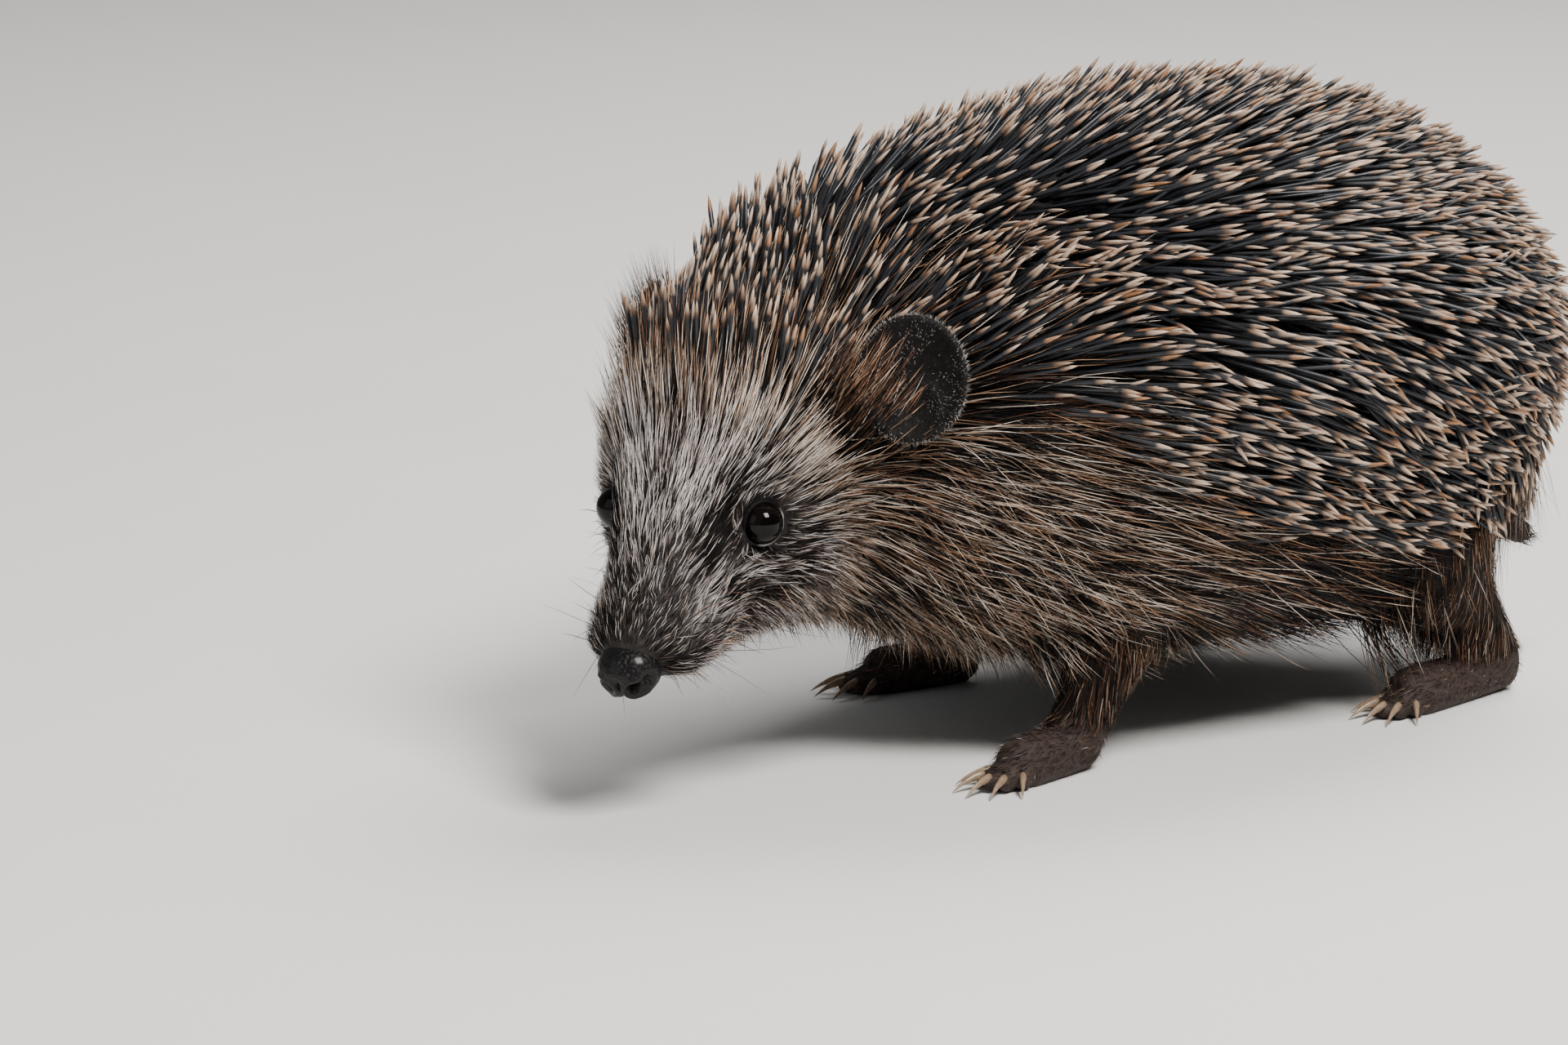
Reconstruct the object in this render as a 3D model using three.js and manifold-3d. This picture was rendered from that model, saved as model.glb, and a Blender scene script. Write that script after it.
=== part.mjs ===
// A life-size European hedgehog, standing with its head lowered and turned to its left.
//
// Millimetres, +Z up. The trunk faces -Y and the animal's left is +X. The body is one smooth
// blend of ellipsoids and tapered rods, grown outwards by the depth of the coat, so that each
// solid reaches to the tips of the spines or hairs. Each round piece is a three.js capsule or
// sphere whose vertices are pushed out from an axis inside the animal to that surface.
import * as THREE from "three";
import { mergeVertices } from "three/addons/utils/BufferGeometryUtils.js";
import Module from "manifold-3d";

const wasm = await Module();
wasm.setup();

// ---------------------------------------------------------------- driving sizes

const GAP = 0.3; // between two pieces that meet
const SOCKET_GAP = 0.5; // round the top of each leg, inside the trunk
const FLOOR = 0; // level of the soles

// Head: where it is and how it is held.
const LEFT_EYE = new THREE.Vector3(19.7, -99.6, 50);
const EYE_SPACING = 27.6;
const EYE_RADIUS = 3.9;
const ORBIT_DEPTH = 1.2; // how far the skin dips round each eye
const ORBIT_REACH = 10; // from the eye's centre
const ORBIT_BARE = 0.8; // share of the coat that is missing at the eye's rim
const HEAD_TURN = THREE.MathUtils.degToRad(25);
const HEAD_DROP = THREE.MathUtils.degToRad(37);

// Coat: how far the tips stand off the skin.
const FACE_FUR = 1.3;
const EAR_FUR = 3; // round the root of each ear
const EAR_PARTING = [6, 26]; // from the ear's middle: where only that fur grows, and where it ends
const CHEEK_FUR = 3.3;
const MUZZLE_FUR = 1.6;
const CHIN_FUR = 3.5;
const BROW_SPINES = 8.5;
const CREST_SPINES = 5; // how much higher they stand along the top of the forehead
const NECK_FUR = 5.2;
const BACK_SPINES = 10.5;
const NAPE_SPINES = 13;
const FLANK_FUR = 8.5;
const HEM_FUR = 14; // the skirt of long hair that hangs below the flanks
const BELLY_FUR = 5;
const LEG_FUR = 1.2;

// Trunk: centre and half sizes of its masses, of the pad over the nape and of the loose skin
// that hangs under the throat and along the flanks.
const BARREL = { centre: [0, 6, 65.5], half: [50, 73, 42] };
const RUMP = { centre: [0, 38, 57], half: [43, 42.5, 38.5] };
const SHOULDERS = { centre: [0, -31, 60], half: [40, 37, 39] };
const NAPE = { centre: [-5, -60, 73], half: [19, 22, 25] };
const NECK = { from: [-2, -52, 54], radiusFrom: 25, radiusTo: 18.5 };
const THROAT = { from: [-2, -56, 42], radiusFrom: 13, radiusTo: 11.5 };
const FLANKS = { centre: [0, 2, 38], half: [45, 66, 22] };

// Where the pieces part.
const HEAD_BASE = { point: [-6, -69, 74], normal: [0.12, -0.97, -0.2] };
const NECK_BASE = { point: [0, -52, 60], normal: [0, -0.98, -0.2] };
const WRIST = { point: [0, 0, 10], normal: [0, 0, 1] };

// Limbs, hip or shoulder to toes, with the foot's length along its direction.
const LIMBS = [
  {
    name: "front_left", paw: "paw", side: 1,
    joints: [[26, -36, 46], [31, -28, 26], [33, -39, 8]], radii: [12, 7.5, 4.6],
    heel: [33, -40, 4], toes: [35.5, -54, 3.4], footRadii: [4.4, 4.8],
  },
  {
    name: "front_right", paw: "paw", side: -1,
    joints: [[-26, -30, 46], [-31, -18, 26], [-32, -14, 8]], radii: [12, 7.5, 4.6],
    heel: [-32, -14, 4], toes: [-34.5, -28, 3.4], footRadii: [4.4, 4.8],
  },
  {
    name: "hind_left", paw: "foot", side: 1,
    joints: [[27, 50, 46], [34, 40, 28], [34, 60, 8]], radii: [17, 11, 4.6],
    heel: [34, 61, 4], toes: [38, 37, 3.4], footRadii: [4.2, 5],
  },
  {
    name: "hind_right", paw: "foot", side: -1,
    joints: [[-27, 40, 46], [-34, 28, 28], [-34, 46, 8]], radii: [17, 11, 4.6],
    heel: [-34, 47, 4], toes: [-38, 23, 3.4], footRadii: [4.2, 5],
  },
];
const TOE_SPREAD = [-38, -17, 0, 17, 40]; // degrees from the foot's direction, outer toe last
const TOE_LENGTH = [5.5, 8, 8.8, 8, 5.5];
const TOE_RADIUS = 2;
const CLAW_LENGTH = 6.5;
const CLAW_RADIUS = 0.85;

// Ears: a shallow cup on each side, the right one laid back further.
const EAR_THICKNESS = 1.3; // half of it
const EAR_CUP = 3.6; // how far the rim stands forward of the middle
const EARS = [
  { name: "ear_left", centre: [-32, 31.6, 4.4], facing: [0.66, 0.3, 0.69], half: [9.6, 11] },
  { name: "ear_right", centre: [-39, -23.5, 0], facing: [0.3, -0.75, 0.5], half: [9.8, 10.2] },
];

const NOSE = { centre: [31.6, 0, -4.2], half: [5.4, 5.6, 5.2] };
const TAIL = { from: [0, 74, 33], to: [1, 98, 19.5], radii: [5, 2.4] };

// ---------------------------------------------------------------- head frame

const FORWARD = new THREE.Vector3(
  Math.sin(HEAD_TURN) * Math.cos(HEAD_DROP),
  -Math.cos(HEAD_TURN) * Math.cos(HEAD_DROP),
  -Math.sin(HEAD_DROP),
);
const LEFTWARD = new THREE.Vector3(Math.cos(HEAD_TURN), Math.sin(HEAD_TURN), 0);
const UPWARD = new THREE.Vector3().crossVectors(FORWARD, LEFTWARD);
const RIGHT_EYE = LEFT_EYE.clone().addScaledVector(LEFTWARD, -EYE_SPACING);
const BROW = LEFT_EYE.clone().addScaledVector(LEFTWARD, -EYE_SPACING / 2);
const HEAD_AXES = [FORWARD, LEFTWARD, UPWARD];
const WORLD_AXES = [
  new THREE.Vector3(1, 0, 0),
  new THREE.Vector3(0, 1, 0),
  new THREE.Vector3(0, 0, 1),
];

// A point of the head: forward, to the left and above the midpoint between the eyes.
function onHead(forward, left, up) {
  return BROW.clone()
    .addScaledVector(FORWARD, forward)
    .addScaledVector(LEFTWARD, left)
    .addScaledVector(UPWARD, up);
}

const at = (numbers) => new THREE.Vector3(...numbers);

// ---------------------------------------------------------------- the blended skin

const offset = new THREE.Vector3();

// Approximate distance to an ellipsoid: its scaled radius, turned back into millimetres.
function ellipsoid(centre, axes, half, blend) {
  const distance = (p) => {
    offset.subVectors(p, centre);
    let scaled = 0;
    let slope = 0;
    axes.forEach((axis, i) => {
      const part = offset.dot(axis) / half[i];
      scaled += part * part;
      slope += (part / half[i]) ** 2;
    });
    const radius = Math.sqrt(scaled);
    return (radius * (radius - 1)) / Math.max(Math.sqrt(slope), 1e-9);
  };
  return { blend, distance };
}

// Distance to a rod with round ends that tapers from one radius to the other.
function rod(from, to, radiusFrom, radiusTo, blend) {
  const along = new THREE.Vector3().subVectors(to, from);
  const length = along.lengthSq();
  const distance = (p) => {
    offset.subVectors(p, from);
    const t = THREE.MathUtils.clamp(offset.dot(along) / length, 0, 1);
    offset.addScaledVector(along, -t);
    return offset.length() - THREE.MathUtils.lerp(radiusFrom, radiusTo, t);
  };
  return { blend, distance };
}

// The smooth minimum of all the shapes: each one melts into those before it over its blend.
function blended(shapes) {
  return (p) => {
    let nearest = shapes[0].distance(p);
    for (const shape of shapes.slice(1)) {
      const d = shape.distance(p);
      const overlap = Math.max(shape.blend - Math.abs(nearest - d), 0) / shape.blend;
      nearest = Math.min(nearest, d) - (overlap * overlap * shape.blend) / 4;
    }
    return nearest;
  };
}

function bodyShapes() {
  const mass = ({ centre, half }, blend) => ellipsoid(at(centre), WORLD_AXES, half, blend);
  const bone = (place, half, blend) => ellipsoid(onHead(...place), HEAD_AXES, half, blend);
  const shapes = [
    mass(BARREL, 1),
    mass(RUMP, 14),
    mass(SHOULDERS, 14),
    mass(FLANKS, 10),
    rod(at(NECK.from), onHead(-28, 0, -2), NECK.radiusFrom, NECK.radiusTo, 12),
    mass(NAPE, 12),
    bone([-22, 0, 1], [24, 18.5, 16.5], 1), // cranium
    bone([-4, 0, -1], [18, 14.5, 11.5], 8), // face between the eyes
    rod(onHead(0, 0, -2), onHead(26, 0, -4), 11.8, 6.4, 6), // snout
    rod(onHead(-8, 0, -14), onHead(19, 0, -12), 12.6, 4.6, 5), // jaw
    rod(at(THROAT.from), onHead(-6, 0, -15), THROAT.radiusFrom, THROAT.radiusTo, 6),
  ];
  for (const side of [1, -1]) {
    shapes.push(bone([-14, side * 12, -8], [17, 10, 11], 8)); // cheek
    shapes.push(bone([18, side * 6, -6.5], [10, 5.6, 5.6], 4)); // whisker pad
  }
  return shapes;
}

// ---------------------------------------------------------------- the coat

// Rises smoothly from 0 to 1 as value goes from start to end.
function ramp(value, start, end) {
  const t = THREE.MathUtils.clamp((value - start) / (end - start), 0, 1);
  return t * t * (3 - 2 * t);
}

// How far the coat's tips stand off the skin near a point, away from the eyes and ears.
function openCoat(p) {
  offset.subVectors(p, BROW);
  const forward = offset.dot(FORWARD);
  const aside = Math.abs(offset.dot(LEFTWARD));
  const above = offset.dot(UPWARD);
  const muzzle = MUZZLE_FUR * ramp(aside, 3, 8) * ramp(above, 0, -5) * ramp(forward, 0, 8);
  const chin = CHIN_FUR * ramp(above, -10, -18) * ramp(forward, 22, 6);
  const face = THREE.MathUtils.lerp(FACE_FUR, CHEEK_FUR, ramp(forward, 8, -6)) + muzzle + chin;
  const crest = CREST_SPINES * ramp(forward, -44, -24) * ramp(above, 4, 18);
  const crown = THREE.MathUtils.lerp(NECK_FUR + 0.4 * chin, BROW_SPINES + crest, ramp(above, 2, 12));
  const head = THREE.MathUtils.lerp(face, crown, ramp(forward, -5, -22));

  const nape = ramp(forward, -30, -44) * ramp(forward, -82, -56);
  const spines = THREE.MathUtils.lerp(BACK_SPINES, NAPE_SPINES, nape);
  const hem = THREE.MathUtils.lerp(BELLY_FUR, HEM_FUR, ramp(Math.abs(p.x), 10, 30));
  const below = THREE.MathUtils.lerp(FLANK_FUR, hem, ramp(p.z, 40, 20));
  const trunk = THREE.MathUtils.lerp(below, spines, ramp(p.z, 48, 70));
  return THREE.MathUtils.lerp(head, trunk, ramp(forward, -34, -64));
}

// 1 close to the nearest of some points, falling to 0 further off.
function closeness(p, places, full, none) {
  const nearest = Math.min(...places.map((place) => p.distanceTo(place)));
  return ramp(nearest, none, full);
}

const EYES = [LEFT_EYE, RIGHT_EYE];
const EAR_CENTRES = EARS.map(({ centre }) => onHead(...centre));
const orbit = (p) => closeness(p, EYES, EYE_RADIUS, ORBIT_REACH);

function coatDepth(p) {
  const open = openCoat(p) * (1 - ORBIT_BARE * orbit(p));
  return THREE.MathUtils.lerp(open, EAR_FUR, closeness(p, EAR_CENTRES, ...EAR_PARTING));
}

const flesh = blended(bodyShapes());
const skin = (p) => flesh(p) + ORBIT_DEPTH * orbit(p);
const coat = (p) => skin(p) - coatDepth(p);

// ---------------------------------------------------------------- making and cutting solids

// How far the surface is from a point inside it, along a direction.
function reach(origin, direction, surface) {
  const STEP = 2;
  const HALVINGS = 30;
  const point = new THREE.Vector3();
  const height = (d) => surface(point.copy(origin).addScaledVector(direction, d));
  let inside = 0;
  let outside = STEP;
  while (height(outside) < 0) {
    inside = outside;
    outside += STEP;
  }
  for (let i = 0; i < HALVINGS; i += 1) {
    const middle = (inside + outside) / 2;
    if (height(middle) < 0) inside = middle;
    else outside = middle;
  }
  return outside;
}

// Moves every vertex of a geometry.
function reshape(geometry, place) {
  const position = geometry.getAttribute("position");
  const vertex = new THREE.Vector3();
  for (let i = 0; i < position.count; i += 1) {
    vertex.fromBufferAttribute(position, i);
    position.setXYZ(i, ...place(vertex).toArray());
  }
  return geometry;
}

// A closed geometry as a solid that can be joined and cut.
function solid(geometry) {
  geometry.deleteAttribute("normal");
  geometry.deleteAttribute("uv");
  const merged = mergeVertices(geometry, 1e-3);
  const corners = merged.index.array;
  const kept = [];
  for (let i = 0; i < corners.length; i += 3) {
    const [a, b, c] = corners.subarray(i, i + 3);
    if (a !== b && b !== c && c !== a) kept.push(a, b, c);
  }
  const mesh = new wasm.Mesh({
    numProp: 3,
    vertProperties: merged.getAttribute("position").array,
    triVerts: new Uint32Array(kept),
  });
  return new wasm.Manifold(mesh);
}

// A capsule with its axis on a curve, its wall pushed out to a surface. Its rings turn slowly
// where the axis bends, so that they don't cross, and crowd towards its end where the form is
// finer. Below the floor the wall is pressed flat, which makes the soles.
const RING_REACH = 0.12; // share of the axis, each way, that sets a ring's direction
function sleeve(points, surface, { around, along, caps, crowding = 1 }) {
  const axis = new THREE.CatmullRomCurve3(points, false, "centripetal");
  const capsule = new THREE.CapsuleGeometry(1, 1, caps, around, along);
  return solid(
    reshape(capsule, (vertex) => {
      const level = THREE.MathUtils.clamp(vertex.y, -0.5, 0.5);
      const place = 1 - (0.5 - level) ** crowding;
      const origin = axis.getPointAt(place);
      const ahead = axis.getPointAt(Math.min(place + RING_REACH, 1));
      const back = axis.getPointAt(Math.max(place - RING_REACH, 0));
      const tangent = ahead.sub(back).normalize();
      const sideways = new THREE.Vector3().crossVectors(tangent, WORLD_AXES[2]).normalize();
      const upwards = new THREE.Vector3().crossVectors(sideways, tangent);
      const direction = sideways
        .multiplyScalar(vertex.x)
        .addScaledVector(tangent, vertex.y - level)
        .addScaledVector(upwards, vertex.z)
        .normalize();
      const wall = origin.addScaledVector(direction, reach(origin, direction, surface));
      wall.z = Math.max(wall.z, FLOOR);
      return wall;
    }),
  );
}

// An ellipsoid on the head's axes, larger all round by a margin.
function headEllipsoid(place, half, margin, around) {
  const centre = onHead(...place);
  const sphere = new THREE.SphereGeometry(1, around, Math.round(around * 0.6));
  return solid(
    reshape(sphere, (vertex) => {
      const [x, y, z] = vertex.toArray();
      return centre
        .clone()
        .addScaledVector(FORWARD, x * (half[0] + margin))
        .addScaledVector(LEFTWARD, y * (half[1] + margin))
        .addScaledVector(UPWARD, z * (half[2] + margin));
    }),
  );
}

// A large block whose face lies on a plane, on the side that the normal points to.
function blockBeyond(point, normal) {
  const SIZE = 400;
  const block = new THREE.BoxGeometry(SIZE, SIZE, SIZE);
  const turn = new THREE.Quaternion().setFromUnitVectors(WORLD_AXES[2], normal);
  block.translate(0, 0, SIZE / 2);
  block.applyQuaternion(turn);
  block.translate(...point.toArray());
  return solid(block);
}

// ---------------------------------------------------------------- nodes

const model = new THREE.Group();

const FINISHES = {
  spines: { color: 0x6b5c4a, roughness: 0.6 },
  fur: { color: 0x8a7558, roughness: 0.85 },
  darkFur: { color: 0x3a2f27, roughness: 0.85 },
  bareSkin: { color: 0x4a3a34, roughness: 0.6 },
  nose: { color: 0x0c0b0c, roughness: 0.2 },
  eye: { color: 0x050404, roughness: 0.05 },
  claw: { color: 0x7a5f48, roughness: 0.4 },
};

function addNode(name, body, finish) {
  const mesh = body.getMesh();
  const geometry = new THREE.BufferGeometry();
  geometry.setAttribute("position", new THREE.BufferAttribute(mesh.vertProperties, 3));
  geometry.setIndex(new THREE.BufferAttribute(mesh.triVerts, 1));
  geometry.computeVertexNormals();
  const material = new THREE.MeshStandardMaterial({ ...FINISHES[finish], metalness: 0 });
  const node = new THREE.Mesh(geometry, material);
  node.name = name;
  model.add(node);
}

// A cupped disc. Its rim stands forward of its middle by the cup's depth.
function ear({ centre, facing, half }, margin) {
  const middle = onHead(...centre);
  const outwards = new THREE.Vector3();
  HEAD_AXES.forEach((axis, i) => outwards.addScaledVector(axis, facing[i]));
  outwards.normalize();
  const across = new THREE.Vector3().crossVectors(WORLD_AXES[2], outwards).normalize();
  const tall = new THREE.Vector3().crossVectors(outwards, across);
  const disc = new THREE.SphereGeometry(1, 14, 8);
  disc.rotateX(Math.PI / 2);
  return solid(
    reshape(disc, ({ x, y, z }) => {
      const rim = x * x + y * y;
      return middle
        .clone()
        .addScaledVector(across, x * (half[0] + margin))
        .addScaledVector(tall, y * (half[1] + margin))
        .addScaledVector(outwards, z * (EAR_THICKNESS + margin) + EAR_CUP * (rim - 0.5));
    }),
  );
}

function eye(side, margin) {
  const ball = new THREE.SphereGeometry(EYE_RADIUS + margin, 14, 8);
  ball.translate(...onHead(0, (side * EYE_SPACING) / 2, 0).toArray());
  return solid(ball);
}

// The lower jaw's share of the head: the space under the mouth line.
function jawSpace(margin) {
  const MOUTH_FRONT = onHead(31, 0, -9.2);
  const MOUTH_BACK = onHead(6, 0, -12.6);
  const DEPTH = 40;
  const WIDTH = 60;
  const AHEAD = 20; // how far the block runs on past the snout
  const along = new THREE.Vector3().subVectors(MOUTH_FRONT, MOUTH_BACK);
  const length = along.length() + AHEAD + margin;
  along.normalize();
  const down = new THREE.Vector3().crossVectors(along, LEFTWARD).negate();
  const block = new THREE.BoxGeometry(length, WIDTH, DEPTH);
  block.translate(length / 2 - margin, 0, DEPTH / 2 - margin);
  block.applyMatrix4(
    new THREE.Matrix4().makeBasis(along, LEFTWARD.clone().negate(), down).setPosition(MOUTH_BACK),
  );
  return solid(block);
}

// One claw: a cone bent down along its length, rooted in the toe.
function claw(root, heading, margin) {
  const cone = new THREE.ConeGeometry(1, 1, 6, 3);
  const sideways = new THREE.Vector3().crossVectors(WORLD_AXES[2], heading);
  return solid(
    reshape(cone, ({ x, y, z }) => {
      const t = y + 0.5;
      const thickness = CLAW_RADIUS + margin / Math.max(1 - t, 0.25);
      return root
        .clone()
        .addScaledVector(heading, t * CLAW_LENGTH - margin * (1 - t))
        .addScaledVector(sideways, -x * thickness)
        .addScaledVector(WORLD_AXES[2], 0.9 - 2.4 * t * t + z * thickness);
    }),
  );
}

// The toes of one foot, each with the root and heading of its claw.
function toesOf({ heel, toes, side }) {
  const forward = at(toes).sub(at(heel)).setZ(0).normalize();
  return TOE_SPREAD.map((spread, i) => {
    const angle = THREE.MathUtils.degToRad(side * spread);
    const heading = forward.clone().applyAxisAngle(WORLD_AXES[2], angle);
    const base = at(toes).addScaledVector(heading, 1).setZ(3.2);
    const tip = at(toes).addScaledVector(heading, TOE_LENGTH[i]).setZ(1.7);
    return { base, tip, heading };
  });
}

// A straight tapered piece of a limb, with round ends.
function segment(from, to, radiusFrom, radiusTo, facets) {
  const surface = blended([rod(from, to, radiusFrom, radiusTo, 1)]);
  return sleeve([from, to], surface, facets);
}

// A whole limb, from its hip or shoulder to its toes, grown by a margin.
function limb(shape, margin) {
  const [hip, knee, ankle] = shape.joints.map(at);
  const [heel, front] = [at(shape.heel), at(shape.toes)];
  const [thick, middle, thin] = shape.radii.map((radius) => radius + LEG_FUR + margin);
  const [back, ball] = shape.footRadii.map((radius) => radius + LEG_FUR + margin);
  const toe = TOE_RADIUS + margin;
  const COARSE = { around: 8, along: 1, caps: 2 };
  const FINE = { around: 6, along: 1, caps: 1 };
  const pieces = [
    segment(hip, knee, thick, middle, COARSE),
    segment(knee, ankle, middle, thin, COARSE),
    segment(heel, front, back, ball, { around: 9, along: 2, caps: 2 }),
    ...toesOf(shape).map(({ base, tip }) => segment(base, tip, toe, toe * 0.8, FINE)),
  ];
  return pieces.reduce((whole, piece) => whole.add(piece));
}

function tail(margin) {
  const [root, tip] = TAIL.radii.map((radius) => radius + margin);
  return segment(at(TAIL.from), at(TAIL.to), root, tip, { around: 10, along: 2, caps: 3 });
}

// The whole body without limbs, tail and ears, from the rump to the snout.
function body() {
  const spine = [
    new THREE.Vector3(0, 56, 52),
    new THREE.Vector3(0, 30, 58),
    new THREE.Vector3(0, 0, 61),
    new THREE.Vector3(0, -34, 61),
    new THREE.Vector3(-1, -58, 59),
    onHead(-25, 0, -5),
    onHead(-6, 0, -4.5),
    onHead(12, 0, -4.5),
    onHead(25, 0, -4.5),
  ];
  return sleeve(spine, coat, { around: 30, along: 28, caps: 5, crowding: 1.3 });
}

// Splits a solid along a plane into the side that its normal points to and the rest.
function parted(whole, { point, normal }) {
  const face = at(point);
  const outwards = at(normal).normalize();
  const behind = face.clone().addScaledVector(outwards, -GAP);
  return [
    whole.intersect(blockBeyond(face, outwards)),
    whole.intersect(blockBeyond(behind, outwards.clone().negate())),
  ];
}

function buildBody() {
  let [head, rest] = parted(body(), HEAD_BASE);
  let [neck, trunk] = parted(rest, NECK_BASE);

  const jaw = head.intersect(jawSpace(0)).subtract(headEllipsoid(NOSE.centre, NOSE.half, GAP, 12));
  head = head.subtract(jawSpace(GAP)).subtract(headEllipsoid(NOSE.centre, NOSE.half, GAP, 12));
  for (const shape of EARS) {
    const slot = ear(shape, GAP);
    head = head.subtract(slot);
    neck = neck.subtract(slot);
    trunk = trunk.subtract(slot);
    addNode(shape.name, ear(shape, 0), "bareSkin");
  }
  for (const [name, side] of [["eye_left", 1], ["eye_right", -1]]) {
    head = head.subtract(eye(side, GAP));
    addNode(name, eye(side, 0), "eye");
  }
  trunk = trunk.subtract(tail(GAP));
  for (const shape of LIMBS) {
    const socket = limb(shape, SOCKET_GAP);
    trunk = trunk.subtract(socket);
    neck = neck.subtract(socket);
  }
  addNode("head", head, "fur");
  addNode("lower_jaw", jaw, "darkFur");
  addNode("nose", headEllipsoid(NOSE.centre, NOSE.half, 0, 12), "nose");
  addNode("neck", neck, "spines");
  addNode("trunk", trunk, "spines");
  addNode("tail", tail(0), "darkFur");
}

function buildLimb(shape) {
  let [leg, paw] = parted(limb(shape, 0), WRIST);
  toesOf(shape).forEach(({ tip, heading }, i) => {
    const root = tip.clone().addScaledVector(heading, 0.2);
    paw = paw.subtract(claw(root, heading, GAP));
    addNode(`claw_${shape.name}_${i + 1}`, claw(root, heading, 0), "claw");
  });
  addNode(`leg_${shape.name}`, leg, "darkFur");
  addNode(`${shape.paw}_${shape.name}`, paw, "bareSkin");
}

buildBody();
LIMBS.forEach(buildLimb);

// The origin is the middle of the footprint, on the floor.
const box = new THREE.Box3().setFromObject(model);
model.position.set(-(box.min.x + box.max.x) / 2, -(box.min.y + box.max.y) / 2, -FLOOR);

export default model;
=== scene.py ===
# %% [markdown]
# # A European hedgehog, life size
#
# A hedgehog wears two coats. Stiff hollow spines cover its back from the forehead to the rump,
# and coarse hair covers its face, flanks and belly. Under both is one loose skin. The model is
# made in that order: the skin as one closed surface, then each kind of hair and spine as thin
# solid strands that are rooted on it, then the bare parts such as the eyes, the nose and the claws.
#
# All sizes are in millimetres until a mesh is made. The trunk faces -Y, the animal's left is +X
# and up is +Z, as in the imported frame.

import bmesh
import bpy
import numpy as np
from mathutils import Matrix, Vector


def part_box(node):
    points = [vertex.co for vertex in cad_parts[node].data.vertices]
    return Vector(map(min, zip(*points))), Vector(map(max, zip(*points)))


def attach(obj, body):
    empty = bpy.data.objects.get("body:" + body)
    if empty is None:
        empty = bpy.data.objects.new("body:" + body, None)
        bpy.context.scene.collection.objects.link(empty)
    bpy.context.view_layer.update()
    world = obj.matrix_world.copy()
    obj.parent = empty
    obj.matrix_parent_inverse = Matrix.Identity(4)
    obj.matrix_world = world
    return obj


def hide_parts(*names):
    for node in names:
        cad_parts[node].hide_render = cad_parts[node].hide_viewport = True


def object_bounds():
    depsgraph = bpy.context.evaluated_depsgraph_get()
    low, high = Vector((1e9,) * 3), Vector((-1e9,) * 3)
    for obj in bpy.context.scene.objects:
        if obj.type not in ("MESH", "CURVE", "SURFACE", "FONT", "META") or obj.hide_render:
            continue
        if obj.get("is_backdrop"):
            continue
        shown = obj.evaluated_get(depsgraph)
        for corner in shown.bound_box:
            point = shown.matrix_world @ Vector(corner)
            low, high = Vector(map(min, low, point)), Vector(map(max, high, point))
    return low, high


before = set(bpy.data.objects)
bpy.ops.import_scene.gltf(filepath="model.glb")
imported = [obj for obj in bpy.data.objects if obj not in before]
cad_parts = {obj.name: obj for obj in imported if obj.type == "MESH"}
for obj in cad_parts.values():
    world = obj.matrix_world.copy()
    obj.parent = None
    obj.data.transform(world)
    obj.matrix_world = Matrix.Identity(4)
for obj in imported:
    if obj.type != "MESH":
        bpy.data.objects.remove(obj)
cad_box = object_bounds()
MM = 0.001
SEED = 20
print("frame:", len(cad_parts), "nodes")

# %% [markdown]
# ## The head's own axes
#
# The head is turned to the animal's left and lowered, so it is easiest to describe in axes of its
# own: forward to the nose, to the left, and up. They start at the midpoint between the eyes. The
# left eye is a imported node, so its box says where that frame is in the model. The other way, to
# model the head straight and turn it afterwards, would part it from the neck.

# %% The head's axes
LEFT_EYE = np.array([19.7, -99.6, 50.0])
EYE_SPACING = 27.6
EYE_RADIUS = 3.9
HEAD_TURN = np.radians(25)
HEAD_DROP = np.radians(37)
WORLD = np.eye(3)


def bearing(turn, rise):
    """The direction turned from -Y towards +X by one angle and raised above level by another."""
    return np.array([np.sin(turn) * np.cos(rise), -np.cos(turn) * np.cos(rise), np.sin(rise)])


forward = bearing(HEAD_TURN, -HEAD_DROP)
leftward = np.array([np.cos(HEAD_TURN), np.sin(HEAD_TURN), 0.0])
HEAD = np.stack([forward, leftward, np.cross(forward, leftward)])
BROW = LEFT_EYE - leftward * EYE_SPACING / 2
RIGHT_EYE = LEFT_EYE - leftward * EYE_SPACING
EYES = np.stack([LEFT_EYE, RIGHT_EYE])

low_corner, high_corner = (np.array(corner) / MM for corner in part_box("eye_left"))
SHIFT = (low_corner + high_corner) / 2 - LEFT_EYE
print("shift of the model in mm:", SHIFT.round(3))


def on_head(ahead, left, up):
    """The brow point, plus a distance along each of the head's axes."""
    return BROW + np.array([ahead, left, up]) @ HEAD


def in_head(points):
    """How far ahead of, to the left of and above the brow point each point is."""
    return ((points - BROW) @ HEAD.T).T


def unit(vectors):
    """Each vector divided by its length."""
    return vectors / np.maximum(np.linalg.norm(vectors, axis=-1, keepdims=True), 1e-9)


def flat_on(normals, vectors):
    """Each vector less its part along the normal, brought to unit length."""
    return unit(vectors - normals * np.sum(vectors * normals, axis=1, keepdims=True))


def ramp(value, start, end):
    """Rises from 0 at start to 1 at end as 3t squared minus 2t cubed."""
    t = np.clip((value - start) / (end - start), 0, 1)
    return t * t * (3 - 2 * t)


def mix(first, second, share):
    """first where share is 0, second where it is 1, and the straight blend between."""
    return first + (second - first) * share


# %% [markdown]
# ## The body as a distance field
#
# Flesh has no corners: the barrel of the trunk runs into the shoulders, and the neck into the
# skull. One way to get that is to sculpt it. Here each mass is an ellipsoid or a tapered rod,
# given as the distance of any point from its surface, and a smooth minimum melts them together.
# The skin is then wherever the result is zero. It takes few numbers, and it can say how far any
# point is from the skin, which is what places the hair later.

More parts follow.
